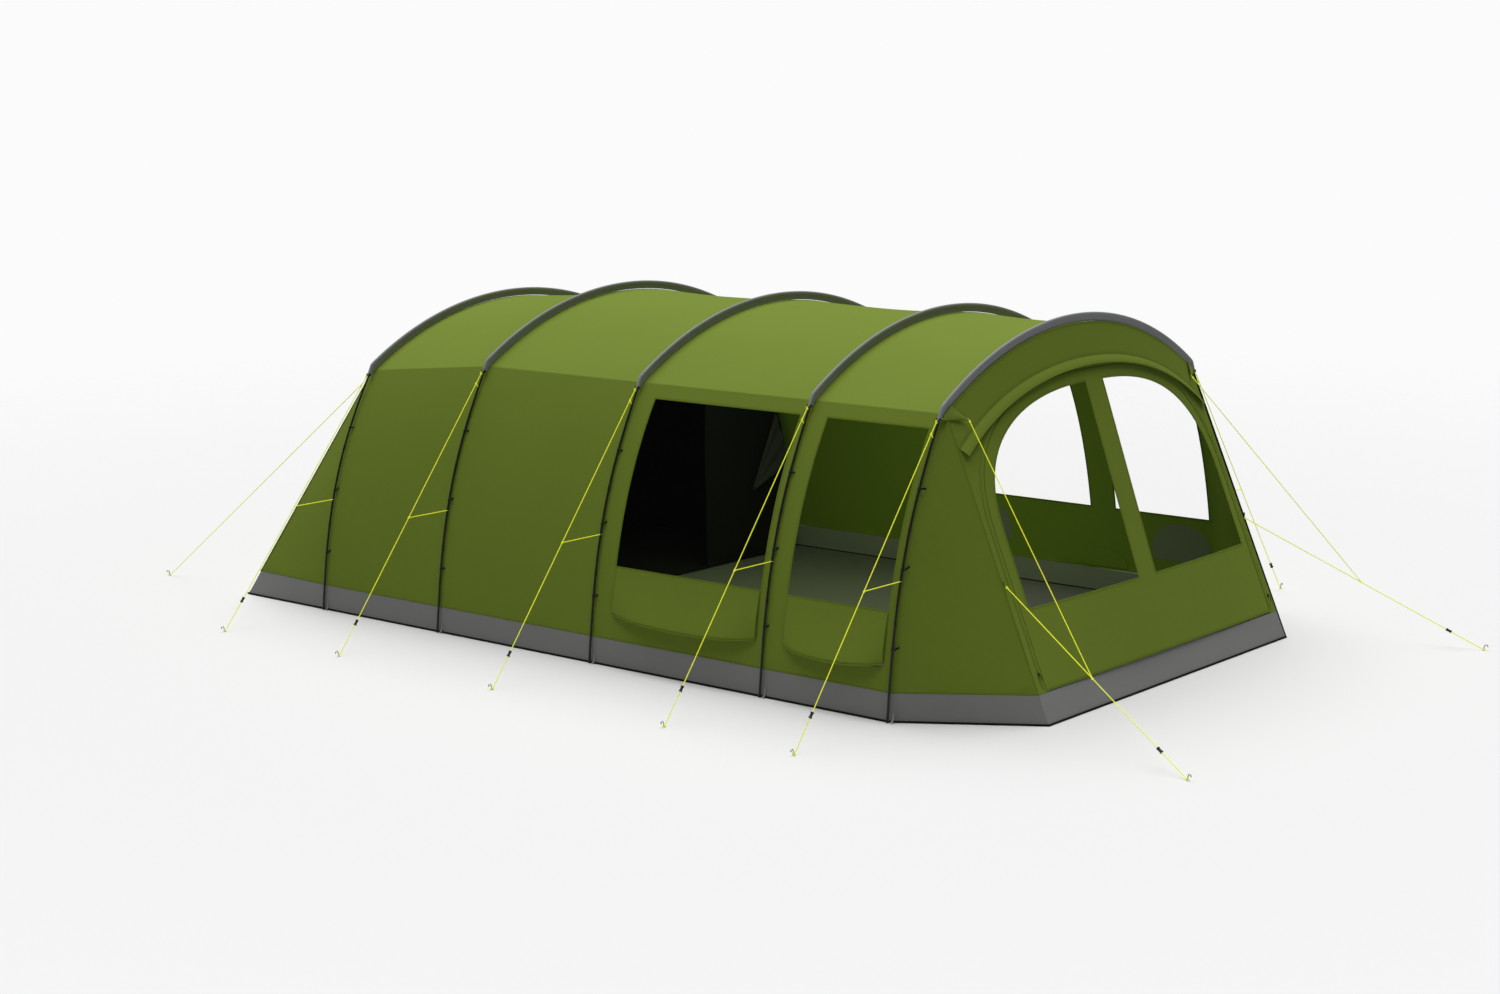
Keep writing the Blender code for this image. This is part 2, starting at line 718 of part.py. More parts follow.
def guys():
    for name, side in SIDES.items():
        for number, x in enumerate(ARCH_X, 1):
            drop = LOW_ARCH_DROP if number == 1 else 0.0
            lines = side_guy_lines(side, x, drop)
            if number == 1:
                rear_peg = (REAR_PEG[0], side * REAR_PEG[1], GUY_END_Z)
                knot = Vector(lines[0][0]).lerp(Vector(lines[0][1]), REAR_KNOT)
                lines.append([knot, rear_peg])
            guy(f"guy_{name}_{number}", lines)
            runner(f"runner_{name}_{number}", lines[0][1], lines[0][0])
        ring = Vector((FRONT_RING[0], side * FRONT_RING[1], FRONT_RING[2]))
        peg = Vector((FRONT_PEG[0], side * FRONT_PEG[1], GUY_END_Z))
        wing = Vector((WING_RING[0], side * WING_RING[1], WING_RING[2]))
        guy(f"guy_{name}_front", [[wing, peg], [ring, wing.lerp(peg, FRONT_JOINT)]])
        runner(f"runner_{name}_front", peg, wing)


def build():
    groundsheet()
    bedrooms()
    for number, x in enumerate(ARCH_X, 1):
        drop = LOW_ARCH_DROP if number == 1 else 0.0
        arch_pole(number, x, drop)
        sleeve(number, x, drop)
    for number in range(1, len(ARCH_X)):
        roof_panel(number)
    rear_panel()
    front_surround()
    storm_hood()
    front_door()
    for name, side in SIDES.items():
        side_wall(f"{name}_wall", side)
        zip_slider(f"zip_slider_{name}", side)
        for number, span in enumerate(WINDOW_X, 1):
            side_window(f"{name}_window_{number}", side, span)
            side_vent(f"{name}_vent_{number}", side, span)
    guys()


clear_scene()
TENT = collection("tunnel_tent")
CUTTERS = collection("helpers")
FINISHES = {
    "roof_fabric": finish_of("roof_fabric", (0.17, 0.24, 0.035), 0.75),
    "wall_fabric": finish_of("wall_fabric", (0.13, 0.19, 0.028), 0.78),
    "sleeve_fabric": finish_of("sleeve_fabric", (0.07, 0.075, 0.07), 0.8),
    "groundsheet_sheet": finish_of("groundsheet_sheet", (0.12, 0.12, 0.12), 0.55),
    "window_film": finish_of("window_film", (0.85, 0.88, 0.88), 0.08, alpha=0.35),
    "bedroom_fabric": finish_of("bedroom_fabric", (0.012, 0.012, 0.013), 0.85),
    "pole_steel": finish_of("pole_steel", (0.02, 0.02, 0.02), 0.4, metallic=0.6),
    "zip_metal": finish_of("zip_metal", (0.05, 0.05, 0.05), 0.35, metallic=0.8),
    "guy_cord": finish_of("guy_cord", (0.75, 0.85, 0.03), 0.7),
    "runner_plastic": finish_of("runner_plastic", (0.03, 0.03, 0.03), 0.5),
}
build()
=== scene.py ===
"""Tunnel tent on five arched poles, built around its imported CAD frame.

X runs from the sleeping end to the front door, Y across and Z up, in metres. Left is the -Y side.
"""

import math
from itertools import product

import bpy
from mathutils import Matrix, Vector, geometry, noise


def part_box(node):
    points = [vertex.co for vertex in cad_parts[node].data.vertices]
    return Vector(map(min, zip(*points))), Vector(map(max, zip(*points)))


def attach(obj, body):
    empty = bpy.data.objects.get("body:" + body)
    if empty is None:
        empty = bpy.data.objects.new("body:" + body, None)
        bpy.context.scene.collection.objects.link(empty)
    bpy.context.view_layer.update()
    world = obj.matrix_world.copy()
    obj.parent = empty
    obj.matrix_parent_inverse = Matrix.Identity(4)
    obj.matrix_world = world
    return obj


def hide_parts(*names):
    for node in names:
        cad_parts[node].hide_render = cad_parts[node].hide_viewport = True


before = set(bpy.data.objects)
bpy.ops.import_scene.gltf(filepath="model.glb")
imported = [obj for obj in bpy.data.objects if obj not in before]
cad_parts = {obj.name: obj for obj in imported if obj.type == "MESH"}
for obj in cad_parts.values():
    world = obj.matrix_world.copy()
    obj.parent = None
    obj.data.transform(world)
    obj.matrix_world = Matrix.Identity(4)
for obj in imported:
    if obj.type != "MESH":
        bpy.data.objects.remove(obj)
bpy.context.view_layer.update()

bl_info = {
    "name": "Tunnel tent",
    "version": (1, 0, 0),
    "blender": (4, 5, 0),
    "location": "3D View > Sidebar > Tent",
    "description": "Builds a family tunnel tent from its poles, panels, windows, guy lines and bedrooms",
    "category": "Add Mesh",
}

SIDES = {"left": -1, "right": 1}
NUMBERS = (1, 2, 3, 4, 5)


def middle_of(node, axis):
    low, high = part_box(node)
    return (low[axis] + high[axis]) / 2


def span_of(node):
    low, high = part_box(node)
    return low.x, high.x


# Stations along the tunnel, read from the frame
ARCH_X = [middle_of(f"sleeve_{number}", 0) for number in NUMBERS]
WINDOW_X = [span_of("left_vent_1"), span_of("left_vent_2")]
BASE_X = span_of("groundsheet")
TUB_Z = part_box("groundsheet")[1].z
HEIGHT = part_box("sleeve_3")[1].z

# The section across the tunnel: a round roof, a kink at each shoulder and a bowed leg
FOOT_Y = 1.906
KINK = (1.414, 1.735)
SLEEVE_END = (1.450, 1.660)
LEG_BOW = (0.0834, 0.0403, 0.0521)
LOW_ARCH_DROP = 0.107
ROOF_DEPTH = 0.058
ROOF_SAG = 0.020
SHOULDER_Y = 1.385
WALL_GAP = 0.014
POLE_DEPTH = 0.0155
RISE = HEIGHT - KINK[1]
ARCH_R = (KINK[0] ** 2 + RISE**2) / (2 * RISE)
ARCH_CENTRE_Z = HEIGHT - ARCH_R
KINK_ANGLE = math.asin(KINK[0] / ARCH_R)
ROOF_R = ARCH_R - ROOF_DEPTH
SHOULDER_ANGLE = math.asin(SHOULDER_Y / ROOF_R)
SHOULDER_Z = ARCH_CENTRE_Z + ROOF_R * math.cos(SHOULDER_ANGLE)
LOW_SCALE = 1 - LOW_ARCH_DROP / SHOULDER_Z
WALL_BOTTOM_Z = TUB_Z + 0.002
WALL_TOP_Z = SHOULDER_Z - 0.002
FRONT_CORNER_Y = 1.400
BEDROOM_X = (-2.860, -1.185)
ROOM_GAP = 0.110
ROOM_HEADING = 0.19
ROOM_SLOPE = 0.620
ROOM_CELLS = 14
WINDOW_Z = (0.615, 1.604)
VENT_TOP_Z = 0.607
LEG_RUN = Vector((SLEEVE_END[0] - KINK[0], SLEEVE_END[1] - KINK[1])).normalized()

# The front door, its two windows and the hood above it
ARCH_POWER = 2.5
DOOR_HALF = 1.310
DOOR_TOP_Z = 1.825
DOOR_BOTTOM_Z = 0.174
SPRING_Z = 1.000
PANE_HALF = 1.235
PANE_TOP_Z = 1.755
PANE_BOTTOM_Z = 0.610
DIVIDER_HALF = 0.100
ZIP_OUT = 0.035
HOOD_TOP_Z = 1.895
HOOD_BOW = (0.162, 0.0276)
HOOD_HALF = 1.370

# The camera, and how bright the pale backdrop and the floor look and how much light they throw back
CAMERA_AT = (10.438, -12.948, 3.658)
CAMERA_AHEAD = (-0.62389, 0.76216, -0.17124)
CAMERA_ROLL = 0.142
LENS_MM = 60.39
BACKDROP_SEEN, BACKDROP_FELT = 0.965, 0.07
FLOOR_SEEN, FLOOR_FELT = 0.84, 0.60

# Where the guy lines run, as their CAD solids do
PEG_Y = 2.740
LINE_END_Z = 0.008
GUY_TOP = (1.456, 1.654)
LEG_RING_Z = 0.790
REAR_KNOT = 0.03
REAR_PEG = (-4.064, 1.830)
FRONT_RING = (2.474, 1.262, 1.648)
FRONT_PEG = (4.250, 1.850)
WING_RING = (2.815, 1.378, 0.750)
RUNNER_FROM_PEG = 0.230


class TentSizes(bpy.types.PropertyGroup):
    """Sizes of the tent's cloth and fittings."""

    cloth: bpy.props.FloatProperty(
        name="Cloth", description="Thickness drawn for the outer fabric", default=0.0024, unit="LENGTH")
    film: bpy.props.FloatProperty(
        name="Film", description="Thickness drawn for the window film", default=0.0010, unit="LENGTH")
    cord: bpy.props.FloatProperty(
        name="Cord", description="Diameter of the guy lines", default=0.0058, unit="LENGTH")
    leg: bpy.props.FloatProperty(
        name="Leg", description="Diameter of the pole legs", default=0.0135, unit="LENGTH")
    hoop: bpy.props.FloatProperty(
        name="Hoop", description="Diameter of the pole inside its sleeve", default=0.0125, unit="LENGTH")
    seam: bpy.props.FloatProperty(
        name="Seam", description="Width of a flat-felled seam", default=0.014, unit="LENGTH")
    grid: bpy.props.FloatProperty(
        name="Grid", description="Spacing of the points inside a cloth panel", default=0.070, unit="LENGTH")
    ripple: bpy.props.FloatProperty(
        name="Ripple", description="How far the cloth ripples between its seams", default=0.0035, unit="LENGTH")


class TentColours(bpy.types.PropertyGroup):
    """Colours of the tent's materials, as the numbers of their hex values."""

    meadow: bpy.props.StringProperty(
        name="Meadow green", description="Outer fabric", default="788C30")
    slate: bpy.props.StringProperty(
        name="Slate grey", description="Pole sleeves", default="A0A1A4")
    tub: bpy.props.StringProperty(
        name="Tub grey", description="Groundsheet", default="8F8F8E")
    lime: bpy.props.StringProperty(
        name="Lime yellow", description="Guy lines", default="F2F83A")
    night: bpy.props.StringProperty(
        name="Night black", description="Bedroom fabric", default="1B1B1C")
    ink: bpy.props.StringProperty(
        name="Ink black", description="Poles, clips and piping", default="1A1B1A")
    steel: bpy.props.StringProperty(
        name="Zinc", description="Pegs and rings", default="B9BBBC")
    film: bpy.props.StringProperty(
        name="Film", description="Window film", default="A8AAAA")


# ---------------------------------------------------------------- materials


def linear(hex_code):
    """A linear colour from an sRGB hex value."""
    values = [int(hex_code[at : at + 2], 16) / 255 for at in (0, 2, 4)]
    return (*[v / 12.92 if v <= 0.04045 else ((v + 0.055) / 1.055) ** 2.4 for v in values], 1)


def shade(colour, share):
    """A linear colour made darker, below 1, or lighter."""
    return (*[min(1, value * share) for value in colour[:3]], 1)


def add(tree, kind, settings=(), links=()):
    """Add a node, set its properties or input sockets and link its inputs."""
    node = tree.nodes.new(kind)
    for name, value in dict(settings).items():
        if isinstance(name, int) or name in node.inputs:
            node.inputs[name].default_value = value
        else:
            setattr(node, name, value)
    for name, socket in dict(links).items():
        tree.links.new(socket, node.inputs[name])
    return node


def surface(name, colour, roughness, settings=()):
    """An empty material: its tree and its Principled shader."""
    made = bpy.data.materials.new(name)
    made.use_nodes = True
    made.diffuse_color = colour
    shader = made.node_tree.nodes["Principled BSDF"]
    shader.inputs["Base Color"].default_value = colour
    shader.inputs["Roughness"].default_value = roughness
    for socket, value in dict(settings).items():
        shader.inputs[socket].default_value = value
    return made, made.node_tree, shader


def woven(name, colour, thread_mm, roughness, mottle, bump, settings=()):
    """Cloth: threads both ways, a soft mottle in its dye and slow ripples."""
    made, tree, shader = surface(name, colour, roughness, settings)
    place = add(tree, "ShaderNodeTexCoord").outputs["Object"]
    axes = add(tree, "ShaderNodeSeparateXYZ", links={"Vector": place}).outputs
    turn = 2 * math.pi / (thread_mm / 1000)
    heights = []
    for axis in "XYZ":
        scaled = add(tree, "ShaderNodeMath", {"operation": "MULTIPLY", 1: turn}, {0: axes[axis]})
        heights.append(add(tree, "ShaderNodeMath", {"operation": "SINE"}, {0: scaled.outputs[0]}).outputs[0])
    pair = add(tree, "ShaderNodeMath", {"operation": "ADD"}, {0: heights[0], 1: heights[1]})
    threads = add(tree, "ShaderNodeMath", {"operation": "ADD"}, {0: pair.outputs[0], 1: heights[2]})
    dye = add(tree, "ShaderNodeTexNoise", {"Scale": 1.7, "Detail": 4.0, "Roughness": 0.55}, {"Vector": place})
    fine = add(tree, "ShaderNodeTexNoise", {"Scale": 160.0, "Detail": 2.0}, {"Vector": place})
    both = add(tree, "ShaderNodeMath", {"operation": "ADD"}, {0: dye.outputs["Fac"], 1: fine.outputs["Fac"]})
    tone = add(tree, "ShaderNodeMapRange", {"From Min": 0.7, "From Max": 1.3}, {"Value": both.outputs[0]})
    ramp = add(tree, "ShaderNodeMix",
               {"data_type": "RGBA", 6: shade(colour, 1 - mottle), 7: shade(colour, 1 + mottle)}, {0: tone.outputs[0]})
    tree.links.new(ramp.outputs[2], shader.inputs["Base Color"])
    weave = add(tree, "ShaderNodeBump", {"Strength": bump, "Distance": thread_mm / 4000}, {"Height": threads.outputs[0]})
    slow = add(tree, "ShaderNodeTexNoise", {"Scale": 5.0, "Detail": 3.0, "Distortion": 0.6}, {"Vector": place})
    ripple = add(tree, "ShaderNodeBump", {"Strength": 0.10, "Distance": 0.006},
                 {"Height": slow.outputs["Fac"], "Normal": weave.outputs["Normal"]})
    tree.links.new(ripple.outputs["Normal"], shader.inputs["Normal"])
    return made


def moulded(name, colour, roughness, grain_mm, bump, settings=()):
    """Plastic, film or metal: an even colour with a fine grain and small changes in its gloss."""
    made, tree, shader = surface(name, colour, roughness, settings)
    place = add(tree, "ShaderNodeTexCoord").outputs["Object"]
    grain = add(tree, "ShaderNodeTexNoise", {"Scale": 1000 / grain_mm, "Detail": 3.0}, {"Vector": place})
    gloss = add(tree, "ShaderNodeMapRange", {"To Min": roughness * 0.85, "To Max": min(1, roughness * 1.15)},
                {"Value": grain.outputs["Fac"]})
    tree.links.new(gloss.outputs[0], shader.inputs["Roughness"])
    tone = add(tree, "ShaderNodeMix", {"data_type": "RGBA", 6: shade(colour, 0.93), 7: shade(colour, 1.07)})
    tree.links.new(grain.outputs["Fac"], tone.inputs[0])
    tree.links.new(tone.outputs[2], shader.inputs["Base Color"])
    raised = add(tree, "ShaderNodeBump", {"Strength": bump, "Distance": grain_mm / 3000},
                 {"Height": grain.outputs["Fac"]})
    tree.links.new(raised.outputs["Normal"], shader.inputs["Normal"])
    return made


def make_materials(colours):
    cloth = linear(colours.meadow)
    # Polyester taffeta with a polyurethane coating, woven and dyed: a matt face that hardly shines. Its
    # threads are 0.3 mm apart, drawn 5 mm apart so that the weave shows at all.
    woven("Coated polyester", cloth, 5.0, 0.80, 0.03, 0.05, {"Specular IOR Level": 0.12})
    # The same cloth folded and sewn in tapes and hems, a little duller where the needle has roughened it.
    woven("Sewn polyester hem", shade(cloth, 0.90), 4.0, 0.85, 0.04, 0.12, {"Specular IOR Level": 0.10})
    # Oxford polyester, woven from thick yarn 0.8 mm apart and drawn at 6 mm: grey, coarse and matt.
    woven("Oxford polyester", linear(colours.slate), 6.0, 0.85, 0.05, 0.15, {"Specular IOR Level": 0.15})
    # Laminated polyethylene, woven from flat tape 2.5 mm wide: smoother, with a waxy gloss.
    woven("Laminated polyethylene", linear(colours.tub), 5.0, 0.65, 0.03, 0.08, {"Specular IOR Level": 0.20})
    # The same sheet's trodden side inside the tent, a little duller. Its colour is painted darker, to 0.55, as painted
    # shade for the dim inside of the closed tent.
    woven("Laminated polyethylene in painted shade", shade(linear(colours.tub), 0.55), 5.0, 0.75, 0.06, 0.10,
          {"Specular IOR Level": 0.15})
    # Breathable polyester, black and loosely woven: it swallows light.
    woven("Breathable polyester", linear(colours.night), 5.0, 0.90, 0.06, 0.08, {"Specular IOR Level": 0.05})
    # Mosquito netting of the bedroom's inner door, grey and finer than the vents'.
    woven("Mosquito netting", linear("3E3E42"), 3.0, 0.90, 0.05, 0.10, {"Specular IOR Level": 0.1})
    # Polyester netting, knitted in holes of 1.2 mm: half of it is air.
    woven("Polyester netting", linear("8A8E84"), 4.0, 0.90, 0.05, 0.15, {"Alpha": 0.80, "Specular IOR Level": 0.1})
    # Braided polypropylene in ribs 3 mm long, in a fluorescent dye. An emission of 0.30 paints a glow on it, so that it
    # gives back more light than falls on it.
    lime = linear(colours.lime)
    woven("Braided polypropylene", lime, 3.0, 0.70, 0.05, 0.30,
          {"Specular IOR Level": 0.2, "Emission Color": lime, "Emission Strength": 0.30})
    # Nylon webbing, ribbed across every 1.5 mm.
    woven("Nylon webbing", linear(colours.ink), 3.0, 0.80, 0.06, 0.30, {"Specular IOR Level": 0.15})
    # Clear PVC film, calendered: glossy, and clear enough to see through twice.
    moulded("Clear PVC film", linear(colours.film), 0.10, 60.0, 0.0, {"IOR": 1.53})
    # To every ray but the camera's the film is drawn nearly half opaque, so that it casts shade on the floor inside
    # while it looks clear.
    film = bpy.data.materials["Clear PVC film"].node_tree
    eye = add(film, "ShaderNodeLightPath").outputs["Is Camera Ray"]
    seen = add(film, "ShaderNodeMapRange", {"To Min": 0.45, "To Max": 0.004}, {"Value": eye})
    film.links.new(seen.outputs[0], film.nodes["Principled BSDF"].inputs["Alpha"])
    # Powder-coated steel tube: a low, even orange peel about 1 mm across.
    moulded("Powder-coated steel", linear(colours.ink), 0.38, 1.5, 0.10)
    # Zinc-plated steel wire, drawn and bright.
    moulded("Zinc-plated steel", linear(colours.steel), 0.30, 2.0, 0.08, {"Metallic": 1.0})
    # Injection-moulded nylon, spark-eroded grain.
    moulded("Moulded nylon", linear(colours.ink), 0.50, 1.2, 0.15)
    # Nylon monofilament, coiled for the zip and dyed with the cloth.
    moulded("Dyed nylon", shade(cloth, 0.95), 0.50, 1.5, 0.10)
    # Zip slider and its pull, zinc enamelled dark green.
    moulded("Enamelled zinc", linear("3C4720"), 0.40, 1.0, 0.08, {"Metallic": 0.2})


# ---------------------------------------------------------------- mesh helpers


def piece(name, verts, faces, material, body="root", smooth=40, slot=None):
    """A mesh object that rides on a body. Edges sharper than smooth degrees stay sharp."""
    mesh = bpy.data.meshes.new(name)
    mesh.from_pydata([tuple(v) for v in verts], [], faces)
    mesh.validate()
    mesh.polygons.foreach_set("use_smooth", [True] * len(mesh.polygons))
    mesh.set_sharp_from_angle(angle=math.radians(smooth))
    mesh.materials.append(bpy.data.materials[material])
    made = bpy.data.objects.new(name, mesh)
    bpy.context.scene.collection.objects.link(made)
    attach(made, body)
    return made


def thickened(verts, faces, thickness):
    """Give an open surface a thickness, away from its normals, and close its rim."""
    normals = [Vector() for _ in verts]
    edges = {}
    for face in faces:
        corners = [Vector(verts[at]) for at in face]
        normal = geometry.normal(corners)
        for number, at in enumerate(face):
            back, ahead = corners[number - 1] - corners[number], corners[(number + 1) % len(face)] - corners[number]
            normals[at] += normal * back.angle(ahead, 0)
            edges[(at, face[(number + 1) % len(face)])] = True
    count = len(verts)
    inner = [Vector(v) - n.normalized() * thickness for v, n in zip(verts, normals)]
    made = [tuple(face) for face in faces] + [tuple(at + count for at in face[::-1]) for face in faces]
    for a, b in edges:
        if (b, a) not in edges:
            made.append((b, a, a + count, b + count))
    return [Vector(v) for v in verts] + inner, made


def area_of(verts, faces):
    """The area of all the faces."""
    return sum(geometry.area_tri(verts[face[0]], verts[face[at]], verts[face[at + 1]])
               for face in faces for at in range(1, len(face) - 1))


def facing(verts, faces, way):
    """The faces, turned over if they look away from a direction."""
    total = sum((geometry.normal([verts[at] for at in face]) for face in faces), Vector())
    return faces if total.dot(Vector(way)) > 0 else [face[::-1] for face in faces]


def around(loop):
    """The pairs of neighbouring points round a loop."""
    return zip(loop, loop[1:] + loop[:1])


def between(start, end, steps):
    """Even steps from one value to another, both ends with them."""
    return [blend(start, end, step / steps) for step in range(steps + 1)]


def blend(a, b, share):
    """The value at a share of the way from one to another."""
    return a + (b - a) * share


def dense(loop, spacing):
    """A loop of points with more put in, so that none are further apart than spacing."""
    made = []
    for a, b in around([Vector(point) for point in loop]):
        steps = max(1, math.ceil((b - a).length / spacing))
        made += [a.lerp(b, step / steps) for step in range(steps)]
    return made


def inside(point, loops):
    """Whether a point is in an odd number of loops."""
    odd = False
    for loop in loops:
        for a, b in around(loop):
            if (a.y > point.y) != (b.y > point.y):
                if point.x < a.x + (b.x - a.x) * (point.y - a.y) / (b.y - a.y):
                    odd = not odd
    return odd


def cut_cloth(outline, holes, place, spacing, outward):
    """Cloth cut to an outline with holes: triangles over the flat cut, put in space by place(u, v)."""
    loops = [dense(loop, spacing) for loop in [outline, *holes]]
    points, edges = [], []
    for loop in loops:
        first = len(points)
        points += loop
        edges += [(first + at, first + (at + 1) % len(loop)) for at in range(len(loop))]
    rim = list(points)
    low = Vector((min(p.x for p in rim), min(p.y for p in rim)))
    high = Vector((max(p.x for p in rim), max(p.y for p in rim)))
    across = max(1, round((high.x - low.x) / spacing))
    up = max(1, round((high.y - low.y) / spacing))
    for column in range(across + 1):
        for row in range(up + 1):
            point = Vector((low.x + (high.x - low.x) * column / across, low.y + (high.y - low.y) * row / up))
            if inside(point, loops) and min((point - p).length_squared for p in rim) > (spacing * 0.45) ** 2:
                points.append(point)
    flat, _, triangles, *_ = geometry.delaunay_2d_cdt(points, edges, [], 0, 1e-6)
    kept = []
    for triangle in triangles:
        if inside(sum((flat[at] for at in triangle), Vector((0, 0))) / 3, loops):
            kept.append(tuple(triangle))
    used = sorted({at for triangle in kept for at in triangle})
    index = {at: number for number, at in enumerate(used)}
    verts = [place(flat[at].x, flat[at].y) for at in used]
    faces = [tuple(index[at] for at in triangle) for triangle in kept]
    faces = facing(verts, faces, outward)
    return verts, faces, area_of(verts, faces)


def draped(place, columns, rows, way, thickness):
    """Cloth laid over place(along, across), both from 0 to 1: its shape and the area of one face."""
    verts = [place(c / columns, r / rows) for c in range(columns + 1) for r in range(rows + 1)]
    faces = facing(verts, grid_faces(columns + 1, rows + 1), way)
    return thickened(verts, faces, thickness), area_of(verts, faces)


def panel(name, outline, holes, place, outward, material, body="root", thickness=None, spacing=None, slot=None):
    """A sewn panel of cloth, stretched over the frame."""
    sizes = bpy.context.scene.tent_sizes
    verts, faces, area = cut_cloth(outline, holes, place, spacing or sizes.grid, outward)
    verts, faces = thickened(verts, faces, thickness or sizes.cloth)
    made = piece(name, verts, faces, material, body, 50, slot)
    return made


def grid_faces(columns, rows, closed=False):
    """Quads of a grid whose points run row by row along each column."""
    made = []
    for column in range(columns if closed else columns - 1):
        after = (column + 1) % columns
        for row in range(rows - 1):
            made.append((column * rows + row, after * rows + row, after * rows + row + 1, column * rows + row + 1))
    return made


def tube_faces(count, rows, closed):
    """Faces of a tube made of rings of points, with both ends filled unless it closes on itself."""
    made = []
    for column in range(count if closed else count - 1):
        first, after = column * rows, (column + 1) % count * rows
        made += [(first + row, after + row, after + (row + 1) % rows, first + (row + 1) % rows) for row in range(rows)]
    if not closed:
        made += [tuple(range(rows)), tuple(range(count * rows - 1, (count - 1) * rows - 1, -1))]
    return made


def tangent(line, number, closed=False):
    """The way a line runs at one of its points."""
    last = len(line) - 1
    if closed:
        return (Vector(line[(number + 1) % len(line)]) - Vector(line[number - 1])).normalized()
    return (Vector(line[min(number + 1, last)]) - Vector(line[max(number - 1, 0)])).normalized()


def outwards(verts, faces):
    """A closed shape whose faces look out: the sign of the volume they enclose tells."""
    volume = 0.0
    for face in faces:
        for at in range(1, len(face) - 1):
            volume += verts[face[0]].dot(verts[face[at]].cross(verts[face[at + 1]]))
    return verts, faces if volume > 0 else [face[::-1] for face in faces]


def rod(line, radius, sides=10, closed=False):
    """A round bar along a line, with a radius for each point or one for all."""
    radii = radius if hasattr(radius, "__len__") else [radius] * len(line)
    line = [Vector(point) for point in line]
    side = tangent(line, 0, closed).orthogonal().normalized()
    verts = []
    for number, point in enumerate(line):
        ahead = tangent(line, number, closed)
        side = (side - ahead * side.dot(ahead)).normalized()
        other = ahead.cross(side)
        for step in range(sides):
            turn = 2 * math.pi * step / sides
            verts.append(point + (side * math.cos(turn) + other * math.sin(turn)) * radii[number])
    return outwards(verts, tube_faces(len(line), sides, closed))


def turned(profile, centre, along, steps):
    """A shape turned round an axis, from (height, radius) points in millimetres."""
    turn = to_axis(along)
    verts = [centre + turn @ Vector((r * math.cos(a), r * math.sin(a), z)) / 1000
             for a in (2 * math.pi * step / steps for step in range(steps)) for z, r in profile]
    return outwards(verts, tube_faces(steps, len(profile), True))


def tape(line, normals, width, height=0.0012, closed=False):
    """Flat tape sewn along a line: a raised middle between two rows of stitches, and thin edges."""
    half = width / 2
    raised = [(1, 0.5), (0.66, 1), (0.56, 0.55), (0.46, 1.25)]
    profile = [(-half, 0), (half, 0)] + [(half * share, height * up) for share, up in raised]
    profile += [(-half * share, height * up) for share, up in raised[::-1]]
    line = [Vector(point) for point in line]
    verts = []
    for number, point in enumerate(line):
        ahead = tangent(line, number, closed)
        out = Vector(normals[number])
        out = (out - ahead * out.dot(ahead)).normalized()
        verts += [point + ahead.cross(out) * across + out * up for across, up in profile]
    return outwards(verts, tube_faces(len(line), len(profile), closed))


def joined(*shapes):
    """Several shapes' points and faces as one list of each."""
    verts, faces = [], []
    for more_verts, more_faces in shapes:
        base = len(verts)
        verts += more_verts
        faces += [tuple(at + base for at in face) for face in more_faces]
    return verts, faces


def softened_box(size, centre, turn=Matrix.Identity(3), edge=0.25):
    """A small moulded block with chamfered corners."""
    cut = min(size) * edge
    corners = list(product((-1, 1), repeat=3))
    verts = [Vector([signs[k] * (size[k] / 2 - (0 if k == axis else cut)) for k in range(3)])
             for signs in corners for axis in range(3)]
    at = {(signs, axis): 3 * number + axis for number, signs in enumerate(corners) for axis in range(3)}
    faces = []
    for axis in range(3):
        a, b = (axis + 1) % 3, (axis + 2) % 3

        def corner(*signs):
            return tuple(signs[(k - axis) % 3] for k in range(3))

        for sign in (-1, 1):
            ring = [at[corner(sign, *pair), axis] for pair in ((-1, -1), (1, -1), (1, 1), (-1, 1))]
            faces.append(tuple(ring[::sign]))
        for first, second in product((-1, 1), repeat=2):
            low, high = corner(-1, first, second), corner(1, first, second)
            faces.append((at[low, a], at[high, a], at[high, b], at[low, b])[:: -first * second])
    faces += [tuple(at[signs, axis] for axis in range(3))[:: math.prod(signs)] for signs in corners]
    return [Vector(centre) + turn @ v for v in verts], faces


def to_axis(direction):
    """A rotation that turns Z to a direction."""
    return Vector((0, 0, 1)).rotation_difference(Vector(direction).normalized()).to_matrix()


# ---------------------------------------------------------------- the tent's surfaces


def leg_y(z):
    """How far out the leg's outer face stands at a height."""
    return FOOT_Y - sum(bow * z ** (power + 1) for power, bow in enumerate(LEG_BOW))


def wall_y(z):
    """How far out the side stands at a height."""
    return leg_y(z) - WALL_GAP


def roof_z(y):
    """The roof's height over a full arch."""
    return ARCH_CENTRE_Z + math.sqrt(ROOF_R**2 - y**2)


def lowering(x):
    """How far along the last bay a station is, from the second arch to the low one."""
    return min(1.0, max(0.0, (ARCH_X[1] - x) / (ARCH_X[1] - ARCH_X[0])))


def roof_point(x, angle, sag=0.0):
    """A point of the roof at an angle from the ridge."""
    radius = ROOF_R - sag
    z = ARCH_CENTRE_Z - LOW_ARCH_DROP * lowering(x) + radius * math.cos(angle)
    return Vector((x, radius * math.sin(angle), z))


def wall_level(height):
    """The height at the low arch of a level that runs along the whole wall."""
    share = (height - WALL_BOTTOM_Z) / (WALL_TOP_Z - WALL_BOTTOM_Z)
    return blend(WALL_BOTTOM_Z, WALL_TOP_Z * LOW_SCALE, share)


def rear_corner(side, z):
    """A point of the corner between a side and the back."""
    share = z / (WALL_TOP_Z * LOW_SCALE)
    return Vector((blend(BASE_X[0], ARCH_X[0] - 0.020, share), side * blend(wall_y(0), SHOULDER_Y, share), z))


def front_corner(side, z):
    """A point of the corner between a side and the front."""
    share = z / WALL_TOP_Z
    return Vector((blend(BASE_X[1], ARCH_X[4] + 0.020, share), side * blend(FRONT_CORNER_Y, SHOULDER_Y, share), z))


